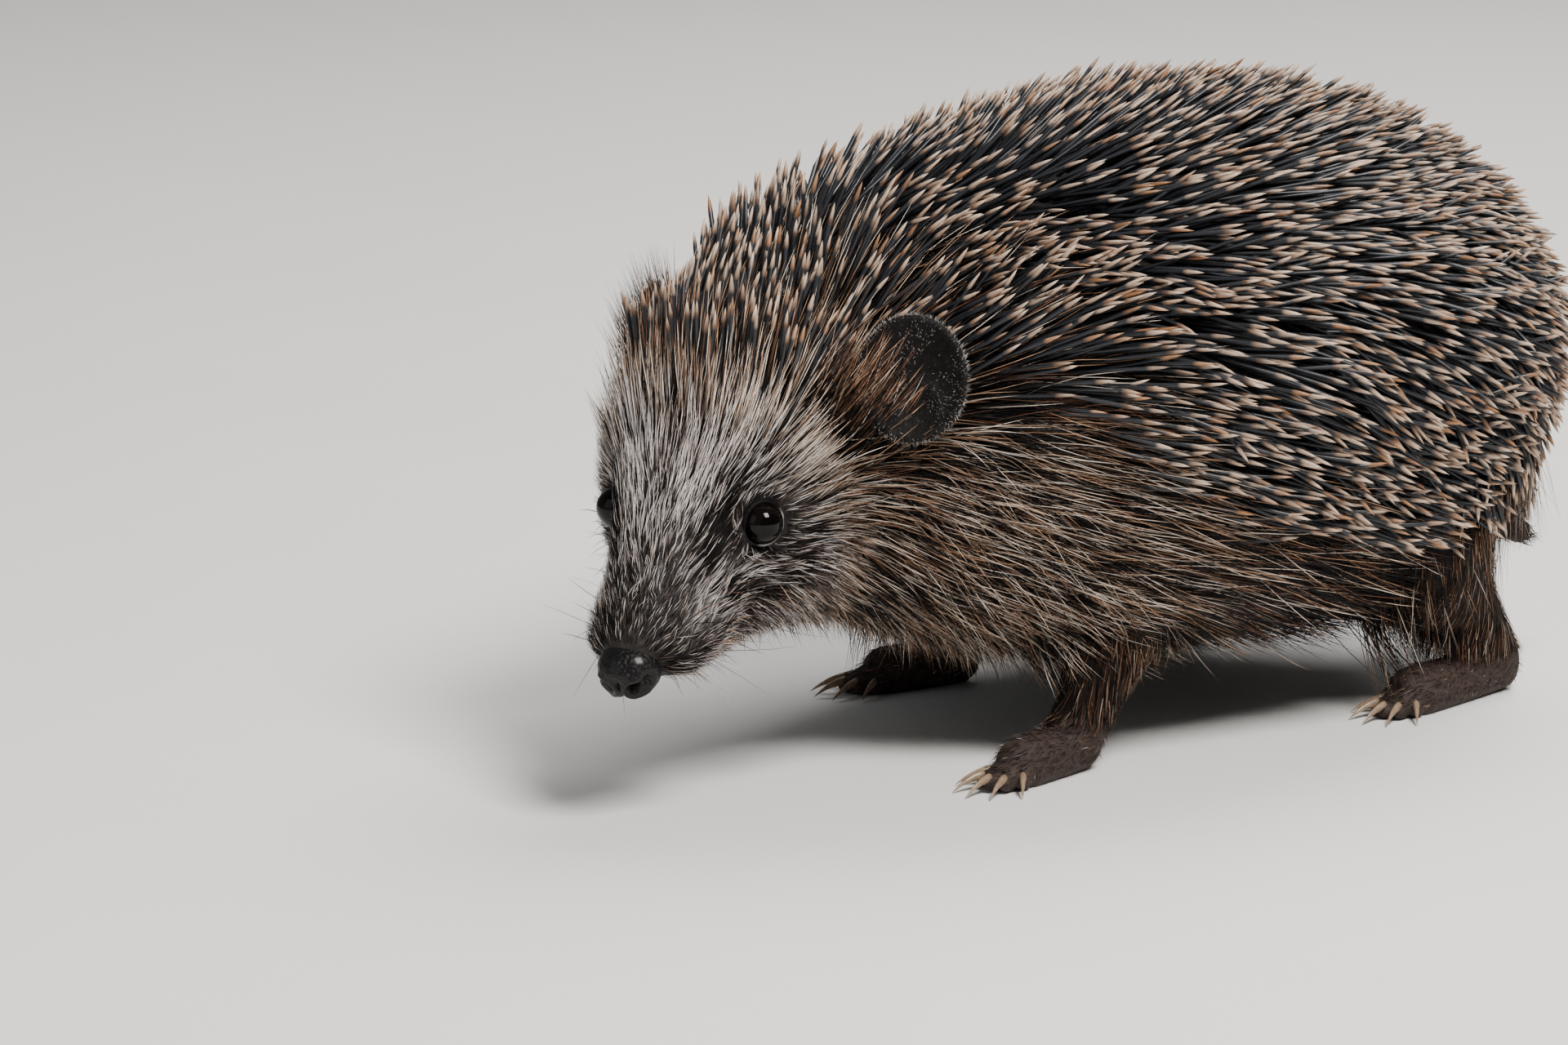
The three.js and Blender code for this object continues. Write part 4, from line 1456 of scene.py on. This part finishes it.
def strand_pieces(name, grown, parts, stops, material, sides=3, flatness=0.7):
    """Sorts what has grown from nose to tail, cuts it into equal shares and builds each one."""
    for number, share in enumerate(np.array_split(np.argsort(grown[0][:, 1]), parts)):
        mine = [part[share] for part in grown]
        places = filled(peeled(mine[0]))
        strand_piece(f"{name}_{number + 1}", mine, stops[:-1], sides, places, material, flatness)


# %% [markdown]
# ## Choosing colours, and keeping clear
#
# On the animal no two neighbouring hairs match, and none grows through an eye or into the ground.
# Picking colours by hand is hopeless for tens of thousands. Each hair draws its kind by the odds at
# its root, and any strand that would cross an eye, an ear or the floor is left out.

# %% Choosing colours, and keeping clear
def draw_kinds(points, random):
    """One kind of hair for each root, by the odds at its place."""
    odds = np.cumsum(kinds_at(points), axis=1)
    return (random.random((len(points), 1)) > odds / odds[:, -1:]).sum(axis=1)


def hair_tints(kinds, levels, random, spread=0.25):
    """The kind's colour times a random brightness, times a level for each stop along the hair."""
    bright = 1 + spread * random.uniform(-1, 1, (len(kinds), 1, 1))
    warm = 1 + 0.07 * random.uniform(-1, 1, (len(kinds), 1, 1)) * np.array([1, 0, -1])
    return KINDS[kinds][:, None] * np.asarray(levels)[None, :, None] * bright * warm


FLOOR_GAP = 0.4
EYE_GAP = 0.1
LID_EDGE = 4.35  # from the middle of the eye


def clear_of(paths, ear_gap=0.4):
    """True for strands that stay above the floor and out of the eyes and ears."""
    sampled = paths[:, 1:].reshape(-1, 3)
    ears = ears_field(sampled).reshape(len(paths), -1).min(axis=1)
    eyes = nearest_of(sampled, EYES).reshape(len(paths), -1).min(axis=1)
    over_floor = paths[..., 2].min(axis=1) > FLOOR_GAP
    return (ears > ear_gap) & (eyes > EYE_RADIUS + EYE_GAP) & over_floor


def kept_of(roots, normals, paths, radii, tints, ear_gap=0.4, standing=True):
    """The parts of the strands that keep clear, out of those that are standing."""
    kept = standing & clear_of(paths, ear_gap)
    return [part[kept] for part in (roots, normals, paths, radii, tints)]


def tapered(stops, power=0.6):
    """The width at each stop but the last: one less the stop, raised to a power."""
    return np.power(1 - np.asarray(stops[:-1]), power)[None]


def on_body(points):
    """True where the skin belongs to the trunk, neck or head, and not to an ear, limb, tail or eye."""
    others = np.minimum(limbs_and_tail(points), ears_field(points))
    return (flesh(points) < others + 0.8) & (nearest_of(points, EYES) > LID_EDGE)


# %% [markdown]
# ## Spines
#
# A spine is a hollow quill about 20 mm long and 1 mm thick, nearly black along its shaft, with a
# brown band and a cream tip of 3 to 4 mm. Thousands of them overlap like thatch. Instances would
# be lighter, but the model has to be plain solid meshes, so each is a tapered tube with five sides,
# and its rings sit where the colour changes. They stand steepest on the crown, fan out from the
# nape, and are shortest and least orderly over the rump.

# %% The spines
SPINE_SPACING = 2.5
SPINE_STOPS = (0.0, 0.40, 0.80, 0.85, 0.94, 1.0)
SPINE_RADII = (0.27, 0.41, 0.45, 0.45, 0.26)
SHAFT = np.array([0.013, 0.014, 0.017])
BAND = np.array([0.085, 0.042, 0.024])
CREAM = np.array([0.60, 0.45, 0.34])
ORANGE = np.array([0.36, 0.16, 0.06])


def spine_length(points):
    """Longest on nape and shoulders, shorter on the crown, shortest over the rump."""
    length = mix(21.5, 17.0, ramp(in_head(points)[0], -48, -30))
    return mix(length, 15.5, ramp(points[:, 1], 0, 62))


def spine_tints(count, random):
    """Dark shaft, brown band and pale tip. The tip's colour runs from cream to orange by chance."""
    warm = np.power(random.random((count, 1)), 3.5)
    tip = mix(CREAM, ORANGE, warm) * random.uniform(0.55, 1.12, (count, 1))
    grey = random.uniform(0.7, 1.6, (count, 1)) * SHAFT
    band = mix(BAND, tip, random.uniform(0.0, 0.6, (count, 1)))
    return np.stack([grey * 1.4, grey, grey, band, tip, tip * 0.9], axis=1)


def upright(points, normals):
    """The way a strand is raised: along the skin's normal, and nearly straight up on the crown."""
    ahead, _, up = in_head(points)
    crown = ramp(ahead, -52, -34) * ramp(ahead, 4, -10) * ramp(up, 4, 12)
    return unit(mix(normals, WORLD[2], 0.7 * crown[:, None]))


def grow_spines():
    """Scatters roots, lays each spine, and keeps those whose tips fall on the mantle."""
    roots, random = scatter(SPINE_SPACING, on_body, SEED)
    roots = roots[roots[:, 2] > HEM_LOW]
    count = len(roots)
    normals = slope(flesh, roots)
    lie = lie_of(roots, normals)
    rump = ramp(roots[:, 1], 0, 60)
    stray = random.normal(size=count) * mix(0.17, 0.42, rump) + 0.14 * ripple(roots, 22, 3)
    lie = turned(lie, normals, stray)
    length = spine_length(roots) * random.uniform(0.88, 1.08, count)
    share = random.uniform(0.76, 1.04, count)
    bend = np.radians(random.uniform(-1, 4, count))
    rise = upright(roots, normals)
    lift = find_lift(roots, rise, lie, length, bend, share, flesh, body_coat)
    lift = lift + 0.05 * random.normal(size=count)
    paths = arched(roots - normals * 0.5, lie, rise, lift, bend, length, SPINE_STOPS)
    standing = mantle(paths[:, -1]) > random.random(count)
    radii = np.asarray(SPINE_RADII)[None] * random.uniform(0.82, 1.12, (count, 1))
    return kept_of(roots, normals, paths, radii, spine_tints(count, random), standing=standing)


strand_pieces("spines", grow_spines(), 3, SPINE_STOPS, spine_material, sides=5, flatness=1.0)

# %% [markdown]
# ## Hair
#
# The face has short soft hair that lies close, the forehead and cheeks have coarser hair, and a
# skirt of long bristles hangs over the flanks. They are the same strand with other lengths, so one
# function grows them all, and each region gives its spacing, width and number of rings. Neighbours
# lean together into small clumps, as damp fur does.

# %% Growing hair
def hair_length(points):
    """From 3 mm behind the nose to 26 mm on the flanks, shorter under the belly and on the limbs."""
    ahead, _, up = in_head(points)
    top = 6 * ramp(up, 4, 12)
    length = mix(3.0, 7.0, ramp(ahead, 24, 2))
    length = mix(length, 17.0, ramp(ahead - top, 0, -20))
    length = mix(length, 26.0, ramp(ahead, -24, -44))
    belly = ramp(np.abs(points[:, 0]), 28, 16) * ramp(points[:, 2], 32, 22)
    length = mix(length, 15.0, belly)
    body = flesh(points)
    leg = ramp(body - limbs_field(points), 0, 5)
    length = mix(length, mix(8.0, 3.0, ramp(points[:, 2], 15, 7)), leg)
    tail = ramp(body - tail_field(points), 0, 3)
    return mix(length, 6.0, tail) * mix(0.4, 1.0, ramp(nearest_of(points, EYES), 4.5, 8.5))


def gathered(roots, paths, stops, size, pull):
    """Draws each strand, by the square of the way along it, towards the mean tip of its clump."""
    sway = np.stack([ripple(roots, 4 * size, n) for n in (1, 2, 3)], 1)
    cells = np.floor((roots + 2 * sway) / size)
    clump = np.unique(cells.astype(int), axis=0, return_inverse=True)[1].ravel()
    count = np.bincount(clump)
    means = np.stack([np.bincount(clump, part) / count for part in paths[:, -1].T], 1)
    change = (means[clump] - paths[:, -1]) * pull
    return paths + change[:, None] * np.square(np.asarray(stops))[None, :, None]


def hair_levels(stops, levels=(0.06, 0.38, 1.15, 1.55)):
    """Brightness along a hair, dark at the root and pale at the tip, read off at its stops."""
    return np.interp(stops, (0.0, 0.35, 0.8, 1.0), levels)


# %% One function for most of the hair
def grow_hair(spacing, chosen, seed, stops, width, bend, share, unruly, clump):
    """Scatters roots, then gives each its lie, its lift by halving, its clump, width and colours.

    Spacing and width are in mm and bend in degrees. A tip reaches its share of the coat's depth.
    Unruly is how far the lie strays, in radians, and clump is the size and pull of the clumps.
    """
    roots, random = scatter(spacing, chosen, seed)
    count = len(roots)
    normals = slope(skin_field, roots)
    stray = random.normal(size=count) * unruly + 0.06 * ripple(roots, 9, 5)
    lie = turned(lie_of(roots, normals), normals, stray)
    kinds = draw_kinds(roots, random)
    length = hair_length(roots) * random.uniform(0.70, 1.12, count)
    depth_share = random.uniform(*share, count) * np.where(kinds == DARK, 0.72, 1.0)
    arc = np.radians(random.uniform(*bend, count))
    rise = upright(roots, normals)
    lift = find_lift(roots, rise, lie, length, arc, depth_share, skin_field, coat_depth)
    sunk = np.minimum(0.3, length * 0.06)[:, None]
    paths = arched(roots - normals * sunk, lie, rise, lift, arc, length, stops)
    paths = gathered(roots, paths, stops, *clump)
    fine = mix(0.6, 1.0, ramp(length, 2, 7))[:, None]
    radii = width / 2 * fine * tapered(stops) * random.uniform(0.75, 1.25, (count, 1))
    tints = hair_tints(kinds, hair_levels(stops), random, 0.4)
    return kept_of(roots, normals, paths, radii, tints)


def hair_region(name, parts, stops, material, chosen, seed, **style):
    """Grows the hair of one region in the given style and builds its pieces."""
    grown = grow_hair(chosen=chosen, seed=seed, stops=stops, **style)
    strand_pieces(name, grown, parts, stops, material)


# %% [markdown]
# ## The hair of the face
#
# The snout wears fine hair of a few millimetres that lies close. A painted texture would look flat
# from the side, so even this short hair is grown. There is a great deal of it, so each hair is a
# plain cone with two rings.

# %% The short hair of the face
def on_face(points):
    """The snout without its pad, the face between the eyes and the front of the cheeks."""
    off_pad = np.linalg.norm(points - on_head(*NOSE_CENTRE), axis=-1) > 5.1
    return on_body(points) * ramp(in_head(points)[0], -11, -7) * off_pad


SHORT_STOPS = (0.0, 0.45, 1.0)  # where along a short hair its rings and its tip lie
hair_region(
    "face_hair", 2, SHORT_STOPS, short_fur_material, on_face, SEED + 1,
    spacing=0.47, width=0.19, bend=(3, 12), share=(0.40, 1.2), unruly=0.2, clump=(2.2, 0.5),
)

# %% [markdown]
# ## The hair of the lids
#
# Tiny hairs ring each eye and point away from it, darkest at its front corner. The general lie
# would comb them across the ball. They are rooted by angle round the eye instead, so that they
# follow the lids.

# %% The hair on the lids
LID_HAIRS = 900  # round each eye


def grow_lid_hair():
    """Short hair rooted in a band round each eye that points away from the ball."""
    random = np.random.default_rng(SEED + 10)
    grown = []
    for eye in EYES:
        count = LID_HAIRS
        turn = random.uniform(0, 2 * np.pi, count)
        away = LID_OPENING + LID_HALF_WIDTH * random.uniform(0.5, 2.3, count)
        aims = directions(away, turn) @ eye_axes(eye)
        roots = eye + aims * (EYE_RADIUS + 0.45)
        roots = np.where(flesh(roots)[:, None] < 0, onto(flesh, roots), roots)
        normals = unit(aims + eye_axes(eye)[2])
        lie = flat_on(normals, aims + 0.7 * lie_of(roots, normals))
        lie = turned(lie, normals, random.normal(size=count) * 0.25)
        lift = np.radians(random.uniform(0, 25, count))
        length = random.uniform(1.2, 2.6, count)
        paths = arched(roots - normals * 0.15, lie, normals, lift, 0.15, length, SHORT_STOPS)
        radii = 0.075 * random.uniform(0.7, 1.3, (count, 1)) * np.array([[1.0, 0.7]])
        before = np.cos(turn) > 0.5
        kinds = np.where(before, DARK, random.choice((3, 4, 5), size=count, p=(0.35, 0.3, 0.35)))
        tints = hair_tints(kinds, (0.15, 0.6, 1.0), random, 0.4)
        grown.append(kept_of(roots, normals, paths, radii, tints))
    return [np.concatenate(parts) for parts in zip(*grown)]


strand_pieces("lid_hair", grow_lid_hair(), 1, SHORT_STOPS, short_fur_material)

# %% [markdown]
# ## The coarser hair of forehead, cheeks and crown
#
# From the brow back the hair is long, coarse and grizzled, and on the crown a thin stand of it
# rises before the first spines. One dense layer would hide those spines. The odds of a root fade
# out where spines begin, and the crown gets a second, sparse and steeper, growth of its own.

# %% The coarser hair of forehead, cheeks and throat
def on_brow(points):
    """From behind the eyes to behind the ears, where no spine stands."""
    ahead = in_head(points)[0]
    thinned = mix(0.55, 0.9, ramp(nearest_of(points, EAR_MIDDLES), 14, 24))
    spines = mantle(points + 5 * forward) * thinned
    return on_body(points) * ramp(ahead, -5, -10) * ramp(ahead, -44, -38) * (1 - spines)


LONG_STOPS = (0.0, 0.3, 0.65, 1.0)
hair_region(
    "cheek_hair", 2, LONG_STOPS, fur_material, on_brow, SEED + 2,
    spacing=0.88, width=0.27, bend=(2, 8), share=(0.30, 1.15), unruly=0.23, clump=(3.4, 0.35),
)


# %% The sparse hair of the crown
def on_crown(points):
    """The top of the head just before the spines."""
    ahead, _, up = in_head(points)
    return on_body(points) * ramp(ahead, -3, -9) * ramp(ahead, -27, -21) * ramp(up, 7, 11)


hair_region(
    "crown_hair", 1, LONG_STOPS, fur_material, on_crown, SEED + 8,
    spacing=1.3, width=0.30, bend=(1, 6), share=(0.65, 1.12), unruly=0.14, clump=(2.6, 0.25),
)

# %% [markdown]
# ## The bristles of flanks and belly
#
# Below the spines hangs a skirt of coarse hair that hides the legs to the knee. Cards with a hair
# texture would be lighter, but they need an image. Real strands with five stops bend well enough,
# and they start a little inside the hem so that no bare line shows.

# %% The long bristles of the flanks and the belly
def on_flank(points):
    """The trunk below and a little inside the spines' lower edge."""
    raised_edge = mantle(points - 9 * WORLD[2])
    return on_body(points) * ramp(in_head(points)[0], -38, -44) * (1 - raised_edge)


BRISTLE_STOPS = (0.0, 0.25, 0.5, 0.78, 1.0)
hair_region(
    "flank_hair", 2, BRISTLE_STOPS, fur_material, on_flank, SEED + 3,
    spacing=1.3, width=0.30, bend=(1, 7), share=(0.20, 1.12), unruly=0.21, clump=(4, 0.2),
)

# %% [markdown]
# ## The hair of limbs and tail
#
# Legs, feet and tail wear short dusky hair, and the soles are bare. It could share the flank's
# bristles, but they would bury the feet. It has its own short growth, thinner towards the toes.

# %% The hair of limbs and tail
def on_limb(points):
    """The limbs and the tail, but not the soles or the claws' tips."""
    near = limbs_and_tail(points) < flesh(points) + 0.8
    return near * (points[:, 2] > 1.8) * mix(0.7, 1.0, ramp(points[:, 2], 5, 10))


hair_region(
    "limb_hair", 1, SHORT_STOPS, short_fur_material, on_limb, SEED + 4,
    spacing=0.85, width=0.20, bend=(3, 10), share=(0.5, 1.6), unruly=0.2, clump=(2, 0.4),
)

# %% [markdown]
# ## The fuzz of the ears
#
# The ears are almost bare cups, velvety inside, with a pale fuzz round the rim. A soft shader alone
# gives no grain in a close view. Very short hair does, with one ring each, and it lies outwards from
# the middle of the ear and comes in pale and dark drifts.

# %% The fuzz of the ears
def on_ear(points):
    """The ears, most of all near the rim."""
    near = ears_field(points) < flesh(points) - 1.0
    return near * mix(0.75, 1.0, ramp(ear_radius(points), 0.5, 0.95))


FUZZ_GREY = np.array([0.60, 0.56, 0.53])
FUZZ_DARK = np.array([0.005, 0.004, 0.004])


def grow_fuzz():
    """Very short hair that lies outwards from the middle of each ear, grey at the rim."""
    roots, random = scatter(0.56, on_ear, SEED + 5)
    count = len(roots)
    normals = slope(ears_field, roots)
    lie = flat_on(normals, roots - np.where(roots[:, :1] > 0, *EAR_MIDDLES))
    lie = turned(lie, normals, random.normal(size=count) * 0.5)
    rim = ramp(ear_radius(roots), 0.88, 1.0)
    length = random.uniform(0.5, 0.9, count) * (1 + 0.6 * rim)
    lift = np.radians(random.uniform(8, 30, count) * (1 + rim))
    paths = arched(roots - normals * 0.1, lie, normals, lift, 0.1, length, (0.0, 1.0))
    rim = rim[:, None, None]
    often = mix(0.10, 0.75, ramp(ripple(roots, 8, 9), -0.2, 0.3))[:, None, None]
    speck = (random.random((count, 1, 1)) < often) * random.uniform(0.2, 1.0, (count, 1, 1))
    tints = mix(FUZZ_DARK, FUZZ_GREY, np.clip(0.7 * speck + 0.32 * rim, 0, 1))
    tints = tints * np.array([0.6, 1.1])[None, :, None]
    return roots, normals, paths, np.full((count, 1), 0.085), tints


def ear_places(roots):
    """Each face of each ear in its own quarter of the map, laid flat."""
    places = np.zeros((len(roots), 2))
    for number, ear in enumerate(EARS.values()):
        x, y, height = in_ear(roots, ear)
        mine = (roots[:, 0] > 0) == (number == 0)
        corner = np.stack([np.full(len(roots), number), (height > 0)], axis=1) / 2
        flat = 0.25 + 0.225 * np.clip(np.stack([x, y], axis=1), -1.05, 1.05)
        places[mine] = (corner + flat)[mine]
    return places


fuzz = grow_fuzz()
strand_piece("ear_fuzz", fuzz, (0.0,), 3, ear_places(fuzz[0]), short_fur_material)

# %% [markdown]
# ## The fringe before the ears
#
# A tuft of long dark hair grows up from just before each ear and hangs over its front edge. The
# general coat stops short there, because its hairs are kept out of the ears. The tuft is scattered
# round one point before each ear, leans up and back, and may come closer to the ear than the rest.

# %% The fringe in front of the ears
def grow_fringe():
    """Long hair from just before and below each ear, raised over its front edge."""
    def before_ear(points):
        near = np.zeros(len(points))
        for ear in EARS.values():
            side = np.sign(ear["centre"][1])
            place = np.stack(in_head(points), axis=-1) - ear["centre"]
            gap = np.linalg.norm((place - (9, -8 * side, -1)) * (1, 1, 0.55), axis=-1)
            near = np.maximum(near, ramp(gap, 8, 5))
        return near * (flesh(points) < 0.8)

    roots, random = scatter(0.56, before_ear, SEED + 6)
    count = len(roots)
    normals = slope(flesh, roots)
    lie = unit(mix(lie_of(roots, normals), unit(0.8 * HEAD[2] - forward), 0.75))
    lie = turned(lie, normals, random.normal(size=count) * 0.2)
    length = random.uniform(11, 18, count)
    lift = np.radians(random.uniform(28, 56, count))
    arc = np.radians(random.uniform(2, 12, count))
    paths = arched(roots - normals * 0.3, lie, normals, lift, arc, length, LONG_STOPS)
    radii = 0.14 * tapered(LONG_STOPS) * random.uniform(0.75, 1.25, (count, 1))
    kinds = random.choice(4, size=count, p=(0.05, 0.20, 0.20, 0.55))
    tints = hair_tints(kinds, hair_levels(LONG_STOPS, (0.1, 0.5, 1.1, 1.3)), random, 0.4)
    return kept_of(roots, normals, paths, radii, tints, ear_gap=0.1)


strand_pieces("ear_fringe", grow_fringe(), 1, LONG_STOPS, fur_material)

# %% [markdown]
# ## Whiskers
#
# Whiskers are the longest and stiffest hairs of the face, and stand out from the pads beside the
# nose and from the chin. Too few to scatter, they are rooted by chance inside a box on each side of
# the snout, dropped onto the skin, and bent back and down with a little curl of their own.

# %% Whiskers
WHISKERS = 90
WHISKER_STOPS = (0.0, 0.15, 0.35, 0.6, 0.8, 1.0)


def grow_whiskers():
    """Stiff hairs from both pads and the chin, out and back, with ends that droop and curl."""
    random = np.random.default_rng(SEED + 7)
    count = WHISKERS
    side = np.where(np.arange(count) % 2 == 0, 1.0, -1.0)
    ahead = random.uniform(9, 26, count)
    up = random.uniform(-14, -3, count)
    seeds = BROW + np.stack([ahead, side * random.uniform(6, 9, count), up], axis=1) @ HEAD
    roots = onto(flesh, seeds)
    normals = slope(flesh, roots)
    outwards = unit(normals - 0.35 * forward + 0.25 * random.normal(size=(count, 3)))
    end = unit(outwards - 0.55 * forward - (0, 0, 0.5) + 0.25 * random.normal(size=(count, 3)))
    length = 4 + 17 * random.random(count) ** 2
    paths = path_of(roots - normals * 0.3, outwards, end, length, WHISKER_STOPS)
    radii = 0.10 * tapered(WHISKER_STOPS, 0.7) * random.uniform(0.8, 1.2, (count, 1))
    kinds = random.choice(4, size=count, p=(0.25, 0.0, 0.1, 0.65))
    return kept_of(roots, normals, paths, radii, hair_tints(kinds, (0.8, 1, 1, 1, 1, 1), random))


strand_pieces("whiskers", grow_whiskers(), 1, WHISKER_STOPS, fur_material)

# %% [markdown]
# ## The loose hair of the jaw
#
# Under lip, chin and throat a few hairs hang free of the coat and break up the edge of the face.
# Longer hair everywhere would blur it. One sparse growth along the jaw is enough, and it sags
# because its end direction is pulled towards the ground.

# %% The loose hair of lip, chin and throat
def grow_beard():
    """Sparse hair along the lower edge of the head that hangs free of the coat, back and down."""
    def along_jaw(points):
        ahead, _, up = in_head(points)
        return on_body(points) * ramp(up, -8, -12) * ramp(ahead, 26, 20) * ramp(ahead, -34, -20)

    roots, random = scatter(1.3, along_jaw, SEED + 9)
    count = len(roots)
    normals = slope(flesh, roots)
    lie = turned(lie_of(roots, normals), normals, random.normal(size=count) * 0.3)
    lift = np.radians(random.uniform(15, 50, count))
    length = random.uniform(4, 8, count) + 5 * ramp(in_head(roots)[0], 12, -8)
    end = unit(raised(lie, normals, lift * 0.6) - 0.7 * WORLD[2])
    paths = path_of(roots - normals * 0.3, raised(lie, normals, lift), end, length, LONG_STOPS)
    radii = 0.10 * tapered(LONG_STOPS) * random.uniform(0.8, 1.3, (count, 1))
    kinds = random.choice(4, size=count, p=(0.22, 0.16, 0.10, 0.52))
    tints = hair_tints(kinds, (0.2, 0.7, 1.1, 1.2), random, 0.4)
    return kept_of(roots, normals, paths, radii, tints)


strand_pieces("beard", grow_beard(), 1, LONG_STOPS, fur_material)

# %% [markdown]
# ## The floor
#
# A museum shows such a model on a plain ground. A disc would end in a hard line behind the animal,
# so the floor is one pale sheet that curls up far away and has no visible edge. It belongs to the
# studio, and isn't part of the model.

# %% The floor
def floor_sheet():
    """A square grid at height zero that curls up far off, by the square of the way past a circle."""
    steps = np.linspace(-4000, 4000, 41)
    x, y = np.meshgrid(steps, steps, indexing="ij")
    z = np.square(np.maximum(np.hypot(x, y) - 2600, 0)) * 0.0006
    points = np.stack([x, y, z], axis=-1).reshape(-1, 3) - SHIFT * (1, 1, 0)
    row, column = np.meshgrid(np.arange(40), np.arange(40), indexing="ij")
    corner = (row * 41 + column).ravel()
    return points, np.stack([corner, corner + 41, corner + 42, corner + 1], axis=1)


def floor_material():
    """Warm off-white, with a very faint mottle."""
    material, tree, shader = new_material("pale_floor", Roughness=0.75)
    noise = noise_on_object(tree, 9, 3)
    blended(tree, shader, noise, (0.76, 0.75, 0.73), (0.82, 0.81, 0.79))
    return material


floor = new_object("floor", *floor_sheet(), floor_material())
floor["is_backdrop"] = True
print("floor:", len(floor.data.polygons), "faces, far side at", round(floor.dimensions.y / 2, 1), "m")

# %% [markdown]
# ## The camera
#
# The view is three-quarters from the front, a little above the animal's eye level, as a watcher
# lying near it would see it. A near camera would swell the snout. A long lens from over a metre
# keeps its proportions, and the near eye sets where the camera points.

# %% The camera
AZIMUTH = np.radians(52)
ELEVATION = np.radians(12)
DISTANCE = 1200.0
EYE_LEFT_OF_MIDDLE = 3.92
FRAME_WIDTH = 268.5
SENSOR = 36.0

to_right = np.array([np.cos(AZIMUTH), np.sin(AZIMUTH), 0.0])
away = -bearing(AZIMUTH, ELEVATION)
upwards = np.cross(to_right, away)
camera_place = LEFT_EYE - away * DISTANCE + to_right * EYE_LEFT_OF_MIDDLE


def placed(name, data, place, right, up, back):
    """A new object at a point in mm, whose own axes point right, up and back."""
    item = linked(name, data)
    turn = Matrix(np.stack([right, up, back], axis=1).tolist()).to_4x4()
    item.matrix_world = Matrix.Translation(((place + SHIFT) * MM).tolist()) @ turn
    return item


lens = bpy.data.cameras.new("camera")
lens.sensor_width = SENSOR
lens.lens = SENSOR * DISTANCE / FRAME_WIDTH
lens.clip_start = 0.05
lens.clip_end = 30
bpy.context.scene.camera = placed("camera", lens, camera_place, to_right, upwards, -away)
print("lens:", round(lens.lens, 1), "mm")

# %% [markdown]
# ## The lights
#
# A broad soft light above and behind the camera's right shoulder models the head and puts the glint
# in the eye, a weaker one fills from the left, and one from behind draws the edge of the spines.
# Hard lamps would throw a shadow from every hair. A dim, faintly blue sky opens the shadows.

# %% The lights
LIT_MIDDLE = np.array([5.0, -40.0, 50.0])


def soft_light(name, turn, rise, distance, size, power, colour):
    """A square area light at a bearing and height from the animal's middle, facing it."""
    back = bearing(np.radians(turn), np.radians(rise))
    right = unit(np.cross(WORLD[2], back))
    light = bpy.data.lights.new(name, "AREA")
    light.size = size
    light.energy = power
    light.color = colour
    placed(name, light, LIT_MIDDLE + back * distance, right, np.cross(back, right), back)


# The angles are in degrees, the distance in mm, the size in metres and the power in watts.
soft_light("key", 84, 52, 1100, 0.4, 21, (1.0, 0.975, 0.94))
soft_light("fill", -5, 22, 1500, 1.0, 2.5, (0.93, 0.96, 1.0))
soft_light("rim", 205, 52, 1200, 0.7, 14, (1.0, 0.98, 0.96))

world = bpy.data.worlds.new("studio")
world.use_nodes = True
sky = world.node_tree.nodes["Background"]
sky.inputs["Color"].default_value = (0.80, 0.83, 0.87, 1)
sky.inputs["Strength"].default_value = 0.16
print("lights:", ", ".join(light.name for light in bpy.data.lights))
bpy.context.scene.world = world

# %% [markdown]
# ## Finish
#
# The dressed model passes the solids by the tips of its hair. Both boxes are gathered, and the
# finished size is printed.

# %% The finished size
low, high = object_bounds()
sizes = {
    "cad": [list(corner) for corner in cad_box],
    "visual": [list(corner) for corner in (low, high)],
}
print("size in mm:", [round(float(b - a) / MM, 1) for a, b in zip(low, high)])
